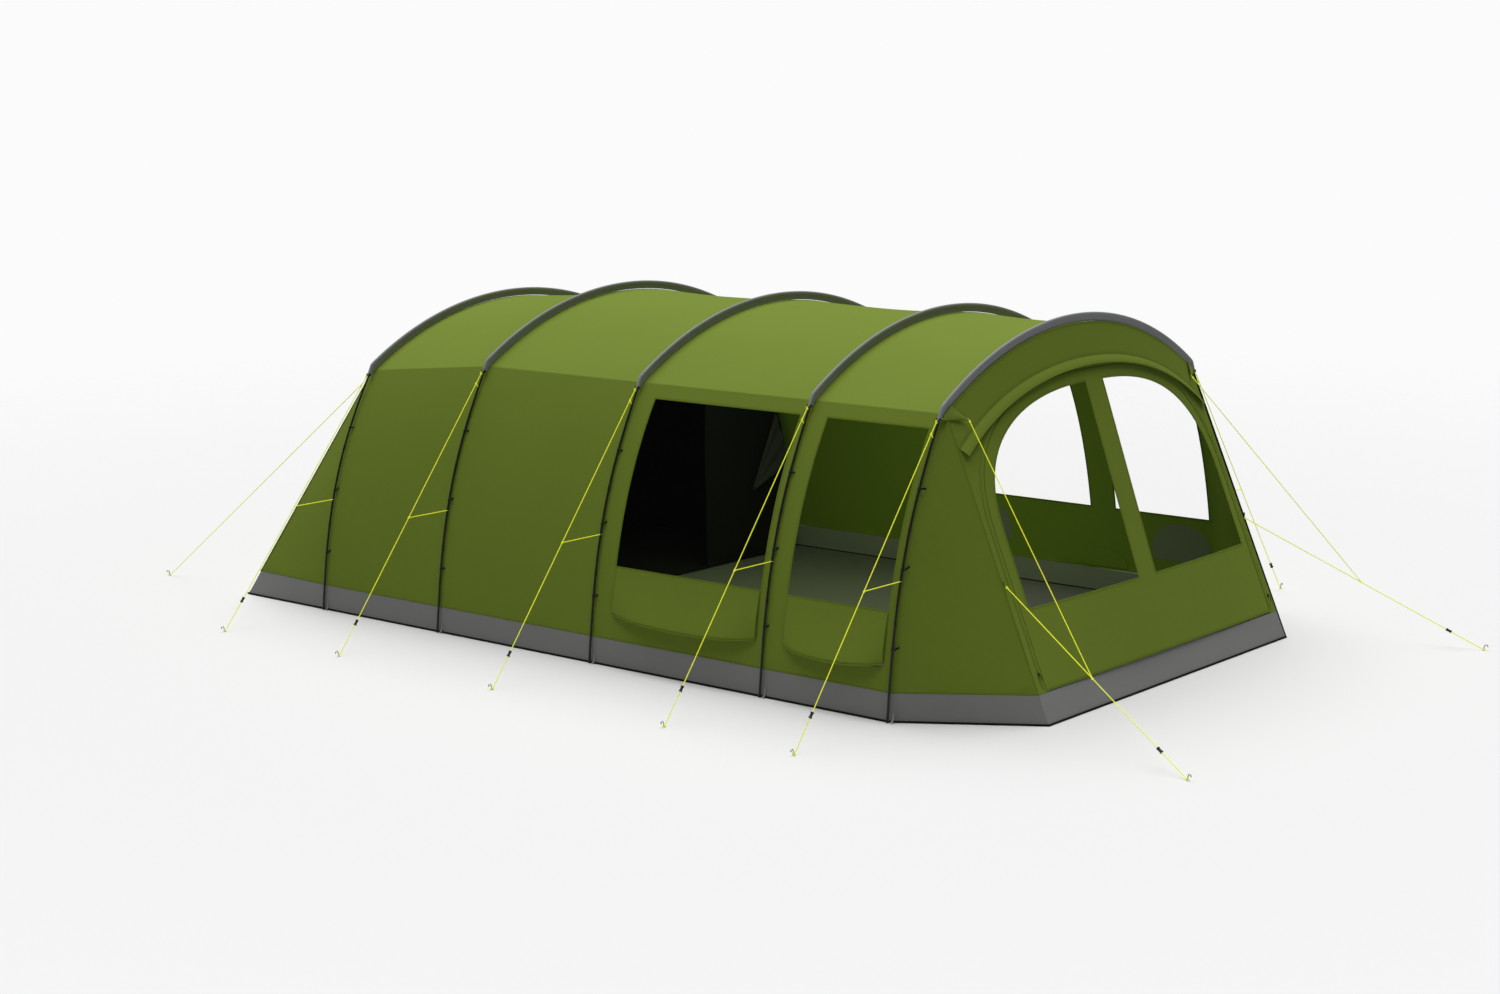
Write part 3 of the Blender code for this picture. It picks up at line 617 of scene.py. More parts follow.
def front_point(y, z, out=0.0):
    """A point of the sloping front, or one that stands off it."""
    return Vector((blend(BASE_X[1], ARCH_X[4] + 0.012, z / roof_z(y)) + out, y, z))


def wall_point(side, x, height, inward=0.0):
    """The side's outer face at x, where height is the one beside a full arch."""
    if x < ARCH_X[0]:
        near, far = wall_point(side, ARCH_X[0], height), rear_corner(side, wall_level(height))
        point = near.lerp(far, (ARCH_X[0] - x) / (ARCH_X[0] - far.x))
    elif x > ARCH_X[4]:
        near, far = wall_point(side, ARCH_X[4], height), front_corner(side, height)
        point = near.lerp(far, (x - ARCH_X[4]) / (far.x - ARCH_X[4]))
    else:
        low = blend(height, wall_level(height), lowering(x))
        point = Vector((x, side * wall_y(height), low))
    point.y -= side * inward
    return point


def normal_of(surface, u, v):
    """The normal of a surface given as surface(u, v)."""
    a = surface(u + 0.01, v) - surface(u - 0.01, v)
    return a.cross(surface(u, v + 0.01) - surface(u, v - 0.01)).normalized()


def wall_normal(side, x, height):
    """The way that a side faces."""
    normal = normal_of(lambda u, v: wall_point(side, u, v), x, height)
    return normal if normal.y * side > 0 else -normal


def front_normal(y, z):
    """The way that the front faces."""
    return normal_of(front_point, y, z)


def wall_tape(side, points, width, height=0.0012, closed=False):
    """Tape sewn to a side along (x, height) points."""
    return tape([wall_point(side, *p) for p in points], [wall_normal(side, *p) for p in points], width, height, closed)


def front_tape(points, width, height=0.0012, closed=False):
    """Tape sewn to the front along (y, z) points."""
    return tape([front_point(*p) for p in points], [front_normal(*p) for p in points], width, height, closed)


def arch_outline(half, top, steps=30):
    """Points of a flattened arch from its right foot at the spring line over to the left one, as (y, z)."""
    made = []
    for step in range(steps + 1):
        turn = math.pi * step / steps
        c, s = math.cos(turn), math.sin(turn)
        y = half * math.copysign(abs(c) ** (2 / ARCH_POWER), c)
        made.append(Vector((y, SPRING_Z + (top - SPRING_Z) * abs(s) ** (2 / ARCH_POWER))))
    return made


def arch_point(angle, depth, drop):
    """A point of an arch in its own plane: past the kinks an angle runs on down the sleeve's ends."""
    side = -1 if angle < 0 else 1
    leg_normal = Vector((-LEG_RUN.y, LEG_RUN.x))
    roof_normal = Vector((math.sin(KINK_ANGLE), math.cos(KINK_ANGLE)))
    across = (leg_normal + roof_normal).normalized()
    kink = Vector(KINK) - across * (depth / across.dot(roof_normal))
    if abs(angle) <= KINK_ANGLE:
        radius = ARCH_R - depth
        y, z = radius * math.sin(abs(angle)), ARCH_CENTRE_Z + radius * math.cos(angle)
    else:
        end = Vector(SLEEVE_END) - leg_normal * depth
        y, z = kink.lerp(end, (abs(angle) / KINK_ANGLE - 1) / 0.1)
    return Vector((side * y, z - drop))


def drop_of(number):
    """How much lower an arch stands than a full one."""
    return LOW_ARCH_DROP if number == 1 else 0.0


def leg_line(side, number, steps=24):
    """Points of a leg's centreline from the ground to the sleeve."""
    drop = drop_of(number)
    scale = 1 - drop / KINK[1]
    top = arch_point(side * KINK_ANGLE * 1.1, POLE_DEPTH, 0)
    made = []
    for step in range(steps + 1):
        z = blend(0.002, top.y - 0.004, step / steps)
        out = max(0.0, (z - 1.30) / (top.y - 1.30))
        made.append(Vector((ARCH_X[number - 1], side * (leg_y(z) + 0.0132 * out**2), z * scale)))
    return made


def leg_at(side, number, z):
    """The leg's centre at a height, and the way that it runs."""
    line = leg_line(side, number, 60)
    at = min(range(1, len(line) - 1), key=lambda step: abs(line[step].z - z))
    return line[at], tangent(line, at)


# ---------------------------------------------------------------- camera, floor and light


class TENT_OT_stage(bpy.types.Operator):
    """Set up the pale floor, the soft studio light and the camera"""

    bl_idname = "tent.stage"
    bl_label = "Stage"

    def execute(self, context):
        scene = context.scene
        scene.view_settings.view_transform = "Standard"
        self.camera(scene)
        self.lights(scene)
        self.floor(scene)
        return {"FINISHED"}

    def camera(self, scene):
        lens = bpy.data.cameras.new("Camera")
        lens.lens = LENS_MM
        lens.sensor_width = 36
        lens.clip_end = 500
        camera = bpy.data.objects.new("Camera", lens)
        ahead = Vector(CAMERA_AHEAD).normalized()
        right = ahead.cross(Vector((0, 0, 1))).normalized()
        up = right.cross(ahead)
        roll = Matrix.Rotation(math.radians(CAMERA_ROLL), 3, ahead)
        axes = Matrix((roll @ right, roll @ up, -ahead)).transposed()
        camera.matrix_world = Matrix.Translation(CAMERA_AT) @ axes.to_4x4()
        scene.collection.objects.link(camera)
        scene.camera = camera

    def lights(self, scene):
        overhead = bpy.data.lights.new("Overhead", "SUN")
        overhead.energy = 3.25
        overhead.angle = math.radians(75)
        light = bpy.data.objects.new("Overhead", overhead)
        light.rotation_euler = (math.radians(-9), math.radians(-10), 0)
        scene.collection.objects.link(light)
        glow = bpy.data.lights.new("Roof_glow", "AREA")
        glow.shape = "RECTANGLE"
        glow.size, glow.size_y = 3.0, 1.3
        glow.energy = 24
        glow.color = (0.80, 1.00, 0.50)
        lamp = bpy.data.objects.new("Roof_glow", glow)
        lamp.location = (0.5, 0, 1.86)
        scene.collection.objects.link(lamp)
        world = bpy.data.worlds.new("Studio")
        world.use_nodes = True
        scene.world = world
        tree = world.node_tree
        tree.nodes.clear()
        eye = add(tree, "ShaderNodeLightPath")
        seen = add(tree, "ShaderNodeBackground", {"Color": (*[BACKDROP_SEEN] * 3, 1)})
        felt = add(tree, "ShaderNodeBackground", {"Strength": BACKDROP_FELT, "Color": (1, 1, 1, 1)})
        mix = add(tree, "ShaderNodeMixShader",
                  links={0: eye.outputs["Is Camera Ray"], 1: felt.outputs[0], 2: seen.outputs[0]})
        add(tree, "ShaderNodeOutputWorld", links={"Surface": mix.outputs[0]})

    def floor(self, scene):
        mesh = bpy.data.meshes.new("Floor")
        mesh.from_pydata([(-90, -90, 0), (90, -90, 0), (90, 90, 0), (-90, 90, 0)], [], [(0, 1, 2, 3)])
        floor = bpy.data.objects.new("Floor", mesh)
        scene.collection.objects.link(floor)
        # Matt white studio floor, fading away far behind the tent. It throws back less light than it shows.
        made, tree, shader = surface("Studio floor", (*[FLOOR_SEEN] * 3, 1), 0.9, {"Specular IOR Level": 0.0})
        eye = add(tree, "ShaderNodeLightPath")
        shown = add(tree, "ShaderNodeMix",
                    {"data_type": "RGBA", 6: (*[FLOOR_FELT] * 3, 1), 7: (*[FLOOR_SEEN] * 3, 1)},
                    {0: eye.outputs["Is Camera Ray"]})
        tree.links.new(shown.outputs[2], shader.inputs["Base Color"])
        place = add(tree, "ShaderNodeTexCoord").outputs["Object"]
        far = add(tree, "ShaderNodeVectorMath", {"operation": "LENGTH"}, {0: place})
        fade = add(tree, "ShaderNodeMapRange", {"From Min": 5.0, "From Max": 16.0}, {"Value": far.outputs["Value"]})
        clear = add(tree, "ShaderNodeBsdfTransparent")
        mix = add(tree, "ShaderNodeMixShader", {}, {0: fade.outputs[0], 1: shader.outputs[0], 2: clear.outputs[0]})
        tree.links.new(mix.outputs[0], tree.nodes["Material Output"].inputs["Surface"])
        mesh.materials.append(made)


# ---------------------------------------------------------------- guy lines, pegs and runners


def side_line(side, number):
    """The two ends of a side guy line."""
    x, drop = ARCH_X[number - 1], drop_of(number)
    return Vector((x, side * GUY_TOP[0], GUY_TOP[1] - drop)), Vector((x, side * PEG_Y, LINE_END_Z))


def front_line(side):
    """The two ends of a front guy line."""
    return (Vector((WING_RING[0], side * WING_RING[1], WING_RING[2])),
            Vector((FRONT_PEG[0], side * FRONT_PEG[1], LINE_END_Z)))


def straight(name, start, end, diameter):
    """A taut cord between two points."""
    curve = bpy.data.curves.new(name, "CURVE")
    curve.dimensions = "3D"
    curve.bevel_depth = diameter / 2
    curve.bevel_resolution = 3
    curve.use_fill_caps = True
    spline = curve.splines.new("POLY")
    spline.points.add(19)
    for step, point in enumerate(spline.points):
        point.co = (*Vector(start).lerp(Vector(end), step / 19), 1)
    curve.materials.append(bpy.data.materials["Braided polypropylene"])
    made = bpy.data.objects.new(name, curve)
    bpy.context.scene.collection.objects.link(made)
    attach(made, "root")
    return made


def ring_shape(centre, axis, radius, wire, steps=20, sides=8, squash=1.0, along=None):
    """A closed ring of round wire, drawn out along a direction when squash is over 1."""
    axis = Vector(axis).normalized()
    first = (Vector(along) if along else axis.orthogonal()).normalized()
    first = (first - axis * first.dot(axis)).normalized()
    second = axis.cross(first)
    line = [Vector(centre) + first * radius * squash * math.cos(2 * math.pi * step / steps)
            + second * radius * math.sin(2 * math.pi * step / steps) for step in range(steps)]
    return rod(line, wire, sides, closed=True)


def peg(name, end, pull):
    """A steel peg driven in at a slant, its hook turned away from the pull, with the line's loop on it."""
    away = Vector((-pull.x, -pull.y, 0)).normalized()
    foot = Vector((end.x, end.y, 0)) + away * 0.006
    lean = (away * 0.35 + Vector((0, 0, 1))).normalized()
    neck = foot + lean * 0.026
    line = [foot + lean * 0.0005, foot + lean * 0.013]
    for step in range(9):
        turn = math.radians(200) * step / 8
        line.append(neck + away * 0.010 * (1 - math.cos(turn)) + Vector((0, 0, 1)) * 0.010 * math.sin(turn))
    verts, faces = rod(line, 0.0032, 10)
    lowest = min(v.z for v in verts)
    verts = [v + Vector((0, 0, max(0.0, 0.0003 - lowest))) for v in verts]
    made = piece(name, verts, faces, "Zinc-plated steel", slot="pole_steel")
    loop_at = foot + lean * 0.010
    loop = ring_shape(Vector((loop_at.x, loop_at.y, 0.0085)), (0, 0, 1), 0.0085, 0.0022, 20, 8, 1.25, away)
    tied = piece(name.replace("peg", "peg_loop"), *loop, "Braided polypropylene", slot="guy_cord")
    return made, tied


def tensioner(name, body, start, end):
    """A moulded runner: a waisted barrel that grips its line, with finger rims at both ends."""
    up = (start - end).normalized()
    centre = end + up * RUNNER_FROM_PEG
    profile = [(-18, 4.6), (-18, 8.2), (-17, 10.2), (-15, 10.8), (-13, 10.2), (-11, 8.4), (-8, 7.6), (-7, 8.3),
               (-5.5, 8.3), (-4.5, 7.4), (-2.5, 7.2), (-1.5, 8.1), (1.5, 8.1), (2.5, 7.2), (4.5, 7.4), (5.5, 8.3),
               (7, 8.3), (8, 7.6), (11, 8.4), (13, 10.2), (15, 10.8), (17, 10.2), (18, 8.2), (18, 4.6)]
    made = piece(name, *turned(profile, centre, up, 20), "Moulded nylon", body, 35, "runner_plastic")
    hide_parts(body)


class TENT_OT_guy_lines(bpy.types.Operator):
    """Make the guy lines with their pegs, rings and runners"""

    bl_idname = "tent.guy_lines"
    bl_label = "Guy lines"

    def execute(self, context):
        for name, side in SIDES.items():
            for number in NUMBERS:
                self.side_guy(context, name, side, number)
            self.front_guy(context, name, side)
        return {"FINISHED"}

    def line(self, context, name, start, end, node, far_end="object", pieces=(), thin=1.0):
        diameter = context.scene.tent_sizes.cord * thin
        cord = straight(name, start, end, diameter)
        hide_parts(node)

    def side_guy(self, context, name, side, number):
        node = f"guy_{name}_{number}"
        top, end = side_line(side, number)
        held = peg(f"peg_{name}_{number}", end, top - end)
        self.line(context, f"guy_line_{name}_{number}", top, end, node, "fitting", held)
        level = LEG_RING_Z * (1 - drop_of(number) / KINK[1])
        leg = leg_at(side, number, level)[0]
        start = Vector((leg.x, leg.y + side * 0.0095, level))
        joint = top.lerp(end, (top.z - level) / (top.z - end.z))
        self.line(context, f"leg_line_{name}_{number}", start, joint, node, thin=0.9)
        tensioner(f"tensioner_{name}_{number}", f"runner_{name}_{number}", top, end)
        down = (end - top).normalized()
        knot = top + down * 0.085
        ring = ring_shape(Vector((leg.x, leg.y, level)), (0, 0, 1), 0.0096, 0.0018, 20, 8)
        bail_start = leg_at(side, number, top.z - 0.085)[0] + Vector((0, side * 0.009, 0))
        eye = ring_shape(top + down * 0.004, (1, 0, 0), 0.0085, 0.0022)
        parts = [rod([bail_start, knot], 0.0026, 8), knot_shape(knot, down), knot_shape(joint, down), eye]
        if number == 1:
            rear_end = Vector((REAR_PEG[0], side * REAR_PEG[1], LINE_END_Z))
            rear_top = top.lerp(end, REAR_KNOT)
            held = peg(f"rear_peg_{name}", rear_end, rear_top - rear_end)
            self.line(context, f"rear_line_{name}", rear_top, rear_end, node, "fitting", held, 0.94)
            parts.append(knot_shape(rear_top, down))
        piece(f"guy_knots_{name}_{number}", *joined(*parts), "Braided polypropylene", slot="guy_cord")
        piece(f"leg_ring_{name}_{number}", *ring, "Zinc-plated steel", slot="pole_steel")

    def front_guy(self, context, name, side):
        node = f"guy_{name}_front"
        top, end = front_line(side)
        held = peg(f"front_peg_{name}", end, top - end)
        self.line(context, f"front_line_{name}", top, end, node, "fitting", held)
        ring = Vector((FRONT_RING[0], side * FRONT_RING[1], FRONT_RING[2]))
        joint = top.lerp(end, 0.5)
        self.line(context, f"wing_line_{name}", ring, joint, node, thin=0.94)
        tensioner(f"tensioner_{name}_front", f"runner_{name}_front", top, end)
        down = (end - top).normalized()
        knots = joined(knot_shape(joint, down), knot_shape(top + down * 0.012, down),
                       knot_shape(ring + (joint - ring).normalized() * 0.012, joint - ring))
        piece(f"guy_knots_{name}_front", *knots, "Braided polypropylene", slot="guy_cord")


def knot_shape(centre, along):
    """A small tied knot: two turns of cord round the line."""
    along = Vector(along).normalized()
    shapes = []
    for shift, tilt in ((-0.0035, 0.35), (0.0035, -0.35)):
        axis = (along + along.orthogonal().normalized() * tilt).normalized()
        shapes.append(ring_shape(Vector(centre) + along * shift, axis, 0.0046, 0.0022, 14, 6))
    return joined(*shapes)


# ---------------------------------------------------------------- poles and sleeves


class TENT_OT_poles(bpy.types.Operator):
    """Make the five poles with their joints, feet and the clips that hold the walls to them"""

    bl_idname = "tent.poles"
    bl_label = "Poles"

    def execute(self, context):
        sizes = context.scene.tent_sizes
        for number in NUMBERS:
            self.pole(number, sizes)
            for name, side in SIDES.items():
                self.clips(name, side, number)
                self.foot(name, side, number)
        return {"FINISHED"}

    def pole(self, number, sizes):
        x, drop = ARCH_X[number - 1], drop_of(number)
        line, radii = [], []
        for side in (-1, 1):
            leg = leg_line(side, number, 26)
            hoop_end = arch_point(side * KINK_ANGLE * 1.085, POLE_DEPTH, drop)
            leg.append(Vector((x, hoop_end.x, hoop_end.y)))
            thick = [sizes.leg / 2] * (len(leg) - 1) + [sizes.hoop / 2]
            if side < 0:
                line, radii = leg, thick
                for step in range(61):
                    angle = blend(-KINK_ANGLE, KINK_ANGLE, step / 60)
                    y, z = arch_point(angle, POLE_DEPTH, drop)
                    line.append(Vector((x, y, z)))
                    radii.append(sizes.hoop / 2)
            else:
                line += leg[::-1]
                radii += thick[::-1]
        shapes = [rod(line, radii, 12)]
        for side in (-1, 1):
            for level in (0.56, 1.08):
                centre, along = leg_at(side, number, level)
                ends = [centre - along * 0.022, centre - along * 0.020, centre + along * 0.020, centre + along * 0.022]
                shapes.append(rod(ends, [0.0069, 0.0077, 0.0077, 0.0069], 12))
        made = piece(f"pole_{number}", *joined(*shapes), "Powder-coated steel", slot="pole_steel")
        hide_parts(f"arch_pole_{number}")

    def clips(self, name, side, number):
        """Three snap clips on a leg, each on a webbing tab from the wall."""
        scale = 1 - drop_of(number) / KINK[1]
        hooks, tabs = [], []
        for level in (0.42, 0.866, 1.289):
            centre, along = leg_at(side, number, level * scale)
            profile = [(-8, 6.6), (-8, 8.4), (-6, 9.2), (6, 9.2), (8, 8.4), (8, 6.6)]
            hooks.append(turned(profile, centre, along, 14))
            hooks.append(softened_box((0.010, 0.008, 0.012), centre + Vector((0.012, -side * 0.002, 0))))
            x = centre.x + 0.018
            at = wall_point(side, x, level)
            out = wall_normal(side, x, level)
            line = [at + out * 0.0010 + Vector((0.008, 0, 0)), at + out * 0.0012 + Vector((0.003, 0, 0)),
                    at + out * 0.004, centre + Vector((0.015, 0, 0)) + out * 0.001]
            tabs.append(tape(line, [out] * 4, 0.011, 0.0014))
        piece(f"leg_clips_{name}_{number}", *joined(*hooks), "Moulded nylon", slot="runner_plastic")
        piece(f"clip_tabs_{name}_{number}", *joined(*tabs), "Nylon webbing", slot="sleeve_fabric")

    def foot(self, name, side, number):
        """A plastic cap under the leg, and the webbing strap that pulls the wall down to it."""
        centre = leg_line(side, number)[0]
        x, y = centre.x, centre.y
        profile = [(0.3, 7.4), (0.3, 9.4), (3, 10.2), (18, 8.6), (21, 7.4)]
        line = [Vector((x, y, z / 1000)) for z, r in profile]
        cap = rod(line, [r / 1000 for z, r in profile], 14)
        piece(f"pole_foot_{name}_{number}", *cap, "Moulded nylon", slot="runner_plastic")
        wall = side * (wall_y(0.03) + 0.001)
        strap_x = x + 0.030
        strap = tape([Vector((strap_x, wall, 0.060)), Vector((strap_x, wall + side * 0.001, 0.030)),
                      Vector((strap_x, wall + side * 0.010, 0.012)), Vector((strap_x, wall + side * 0.022, 0.0075))],
                     [Vector((0, side, 0.1)), Vector((0, side, 0.2)), Vector((0, side, 1)), Vector((0, 0, 1))],
                     0.013, 0.0014)
        piece(f"foot_strap_{name}_{number}", *strap, "Oxford polyester", slot="sleeve_fabric")


class TENT_OT_sleeves(bpy.types.Operator):
    """Make the fabric sleeves that hold the hoops and stand on the roof"""

    bl_idname = "tent.sleeves"
    bl_label = "Pole sleeves"

    def execute(self, context):
        for number in NUMBERS:
            self.sleeve(number)
        return {"FINISHED"}

    def section(self, angle):
        """Half a sleeve's section as (half width, depth): round over the pole, then two layers sewn flat."""
        past = max(0.0, (abs(angle) / KINK_ANGLE - 0.985) / 0.115)
        foot = blend(0.0555, 0.031, min(1.0, past))
        made = []
        for step in range(7):
            turn = math.pi / 2 * step / 6
            made.append((0.0092 * math.sin(turn), 0.0092 * (1 - math.cos(turn)) + 0.0004))
        made += [(0.0092, 0.0165), (0.0080, 0.0225), (0.0052, min(0.0275, foot - 0.003)), (0.0034, foot - 0.0015),
                 (0.0034, foot)]
        return made

    def sleeve(self, number):
        x, drop = ARCH_X[number - 1], drop_of(number)
        steps = 96
        verts = []
        for step in range(steps + 1):
            angle = blend(-1.1, 1.1, step / steps) * KINK_ANGLE
            pucker = 0.0006 * math.sin(step * 2.4 + number) + 0.0004 * math.sin(step * 5.3)
            half = self.section(angle)
            ring = [(-w - pucker * (d > 0.02), d) for w, d in half[::-1]]
            ring += [(w + pucker * (d > 0.02), d) for w, d in half[1:]]
            for across, depth in ring:
                y, z = arch_point(angle, depth, drop)
                verts.append(Vector((x + across, y, z)))
        faces = tube_faces(steps + 1, len(verts) // (steps + 1), False)
        made = piece(f"pole_sleeve_{number}", *outwards(verts, faces), "Oxford polyester", smooth=60,
                     slot="sleeve_fabric")
        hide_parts(f"sleeve_{number}")
        hems, loops = [], []
        for side in (-1, 1):
            for shift in (-0.0102, 0.0102):
                line = []
                for step in range(4):
                    y, z = arch_point(side * KINK_ANGLE * blend(1.085, 1.099, step / 3), 0.010, drop)
                    line.append(Vector((x + shift, y, z)))
                hems.append(tape(line, [Vector((shift, 0, 0))] * 4, 0.024, 0.0008))
            end = arch_point(side * KINK_ANGLE * 1.098, 0.006, drop)
            start = Vector((x, end.x, end.y))
            tip = Vector((x, side * GUY_TOP[0], GUY_TOP[1] - drop)) + Vector((0, side * 0.002, -0.002))
            loops.append(tape([start, start.lerp(tip, 0.5) + Vector((0, side * 0.001, 0)), tip],
                              [Vector((1, 0, 0))] * 3, 0.010, 0.0018))
        piece(f"sleeve_hems_{number}", *joined(*hems), "Nylon webbing", slot="sleeve_fabric")
        piece(f"guy_tabs_{number}", *joined(*loops), "Nylon webbing", slot="sleeve_fabric")


# ---------------------------------------------------------------- roof, back and sides


class TENT_OT_roof(bpy.types.Operator):
    """Make the roof panels between the poles, and the sloping back"""

    bl_idname = "tent.roof"
    bl_label = "Roof and back"

    def execute(self, context):
        for number in (1, 2, 3, 4):
            self.roof(number, context.scene.tent_sizes)
        self.back(context.scene.tent_sizes)
        return {"FINISHED"}

    def roof(self, number, sizes):
        start = ARCH_X[number - 1] + (-0.004 if number == 1 else 0.0005)
        end = ARCH_X[number] + (0.010 if number == 4 else -0.0005)
        width = SHOULDER_ANGLE * ROOF_R

        def place(u, v):
            share = (u - start) / (end - start)
            across = v / width
            sag = ROOF_SAG * 4 * share * (1 - share) * (1 - across**4)
            calm = min(1.0, 8 * share, 8 * (1 - share)) * (1 - across**8)
            sag += sizes.ripple * noise.noise(Vector((u * 2.2, v * 0.9, number))) * calm
            return roof_point(u, across * SHOULDER_ANGLE, sag)

        outline = [(start, -width), (end, -width), (end, width), (start, width)]
        made = panel(f"roof_{number}", [Vector(p) for p in outline], [], place, (0, 0, 1), "Coated polyester",
                     slot="roof_fabric")
        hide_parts(f"roof_panel_{number}")
        seams = []
        for side in (-1, 1):
            line = [place(blend(start + 0.012, end - 0.012, step / 24), side * width * 0.9985) for step in range(25)]
            out = [Vector((0, side * math.sin(SHOULDER_ANGLE), math.cos(SHOULDER_ANGLE)))] * 25
            seams.append(tape(line, out, sizes.seam))
        piece(f"eaves_seam_{number}", *joined(*seams), "Sewn polyester hem", slot="roof_fabric")

    def back(self, sizes):
        top_x = ARCH_X[0] - 0.006

        def place(u, v):
            across = u / SHOULDER_Y
            top = roof_point(ARCH_X[0], across * SHOULDER_ANGLE, 0.003)
            foot = rear_corner(1, WALL_BOTTOM_Z)
            low = Vector((foot.x, across * foot.y, foot.z))
            corner = rear_corner(1, blend(WALL_BOTTOM_Z, WALL_TOP_Z * LOW_SCALE, v))
            point = low.lerp(Vector((top_x, top.y, top.z)), v)
            point.x = blend(point.x, corner.x, abs(across) ** 6)
            point.y = math.copysign(min(abs(point.y), corner.y), across) if across else 0.0
            calm = (1 - across**8) * min(1.0, 6 * v, 6 * (1 - v))
            point.x += (0.006 + sizes.ripple * noise.noise(Vector((u * 1.2, v * 2, 9)))) * calm
            return point

        outline = [Vector(p) for p in ((-SHOULDER_Y, 0), (SHOULDER_Y, 0), (SHOULDER_Y, 1), (-SHOULDER_Y, 1))]
        made = panel("back", outline, [], place, (-1, 0, 0.3), "Coated polyester", slot="roof_fabric")
        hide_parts("rear_panel")
        piping = []
        for side in (-1, 1):
            line = [rear_corner(side, z) for z in between(WALL_BOTTOM_Z, WALL_TOP_Z * LOW_SCALE - 0.004, 20)]
            piping.append(rod(line, 0.0038, 8))
        piece("rear_corner_piping", *joined(*piping), "Sewn polyester hem", slot="roof_fabric")


def wall_outline():
    """A side's flat cut, as (x, height): it leans in at both ends."""
    ends = [(rear_corner(1, WALL_BOTTOM_Z).x, WALL_BOTTOM_Z), (front_corner(1, WALL_BOTTOM_Z).x, WALL_BOTTOM_Z),
            (front_corner(1, WALL_TOP_Z).x, WALL_TOP_Z), (rear_corner(1, WALL_TOP_Z * LOW_SCALE).x, WALL_TOP_Z)]
    return [Vector(point) for point in ends]


def rectangle(span, heights, grow=0.0):
    """A rectangle's outline, or a larger one."""
    (a, b), (low, high) = span, heights
    return [Vector(p) for p in ((a - grow, low - grow), (b + grow, low - grow), (b + grow, high + grow),
                                (a - grow, high + grow))]


def half_moon(span, grow=0.0):
    """The vent's mesh opening behind its flap: flat below, round above, off to one side."""
    shift = 0.140 if span == WINDOW_X[1] else -0.330
    centre, half = (span[0] + span[1]) / 2 + shift, 0.215 + grow
    made = [Vector((centre - half, 0.300 - grow)), Vector((centre + half, 0.300 - grow))]
    for step in range(15):
        turn = math.pi * step / 14
        made.append(Vector((centre + half * math.cos(turn), 0.390 + (0.160 + grow) * math.sin(turn))))
    return made


class TENT_OT_walls(bpy.types.Operator):
    """Make the two sides with their windows, vent meshes and seams"""

    bl_idname = "tent.walls"
    bl_label = "Sides and windows"

    def execute(self, context):
        sizes = context.scene.tent_sizes
        for name, side in SIDES.items():
            self.wall(name, side, sizes)
            for number, span in enumerate(WINDOW_X, 1):
                self.window(name, side, number, span, sizes)
        return {"FINISHED"}

    def wall(self, name, side, sizes):
        def place(u, v):
            near = min(abs(u - x) for x in ARCH_X)
            calm = min(1.0, near / 0.25) * min(1.0, (v - WALL_BOTTOM_Z) / 0.2, (WALL_TOP_Z - v) / 0.2)
            calm *= all(not a - 0.12 < u < b + 0.12 for a, b in WINDOW_X)
            ripple = (0.5 + noise.noise(Vector((u * 1.3, side * 4, v * 0.8)))) * sizes.ripple
            return wall_point(side, u, v, ripple * max(0.0, calm))

        holes = [rectangle(span, WINDOW_Z) for span in WINDOW_X] + [half_moon(span) for span in WINDOW_X]
        made = panel(f"side_{name}", wall_outline(), holes, place, (0, side, 0), "Coated polyester",
                     slot="wall_fabric")
        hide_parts(f"{name}_wall")
        seams = []
        for x in ARCH_X[1:]:
            levels = between(WALL_BOTTOM_Z, WALL_TOP_Z - 0.03, 24)
            seams.append(wall_tape(side, [(x, z) for z in levels], sizes.seam))
        xs = between(BASE_X[0] + 0.075, BASE_X[1] - 0.075, 80)
        seams.append(tape([wall_point(side, x, WALL_BOTTOM_Z + 0.004) for x in xs],
                          [wall_normal(side, x, WALL_BOTTOM_Z + 0.02) for x in xs], sizes.seam * 0.8))
        corner = between(WALL_BOTTOM_Z + 0.004, WALL_TOP_Z - 0.004, 24)
        seams.append(rod([front_corner(side, z) for z in corner], 0.0022, 8))
        piece(f"side_seams_{name}", *joined(*seams), "Sewn polyester hem", slot="wall_fabric")
        if side > 0:
            # On the right side only, a thick black rod runs down the front corner: painted shade standing for the dark
            # shaded edge of that corner, which the left corner doesn't show.
            edge = rod([front_corner(side, z) for z in between(0.012, WALL_TOP_Z - 0.01, 30)], 0.0052, 8)
            piece("front_corner_binding", *edge, "Nylon webbing", slot="wall_fabric")
            self.cable_flap()

    def cable_flap(self):
        """A domed flap over the cable entry, low on the inside of the right wall."""
        made = [Vector((1.230, 0.185)), Vector((1.680, 0.185))]
        made += [Vector((1.455 + 0.225 * math.cos(turn), 0.185 + 0.145 * math.sin(turn)))
                 for turn in (math.pi * step / 14 for step in range(1, 14))]
        panel("cable_flap", made, [], lambda u, v: wall_point(1, u, v, 0.008), (0, -1, 0), "Coated polyester",
              slot="wall_fabric")

    def window(self, name, side, number, span, sizes):
        film = panel(f"film_{name}_{number}", rectangle(span, WINDOW_Z, 0.010), [],
                     lambda u, v: wall_point(side, u, v, 0.0040), (0, side, 0), "Clear PVC film",
                     thickness=sizes.film, slot="window_film")
        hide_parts(f"{name}_window_{number}")
        loop = dense(rectangle(span, WINDOW_Z, 0.007), 0.06)
        binding = wall_tape(side, loop, sizes.seam, 0.0010, True)
        piece(f"window_binding_{name}_{number}", *binding, "Sewn polyester hem", slot="wall_fabric")
        panel(f"vent_mesh_{name}_{number}", half_moon(span, 0.010), [], lambda u, v: wall_point(side, u, v, 0.0032),
              (0, side, 0), "Polyester netting", thickness=0.0008, slot="sleeve_fabric")


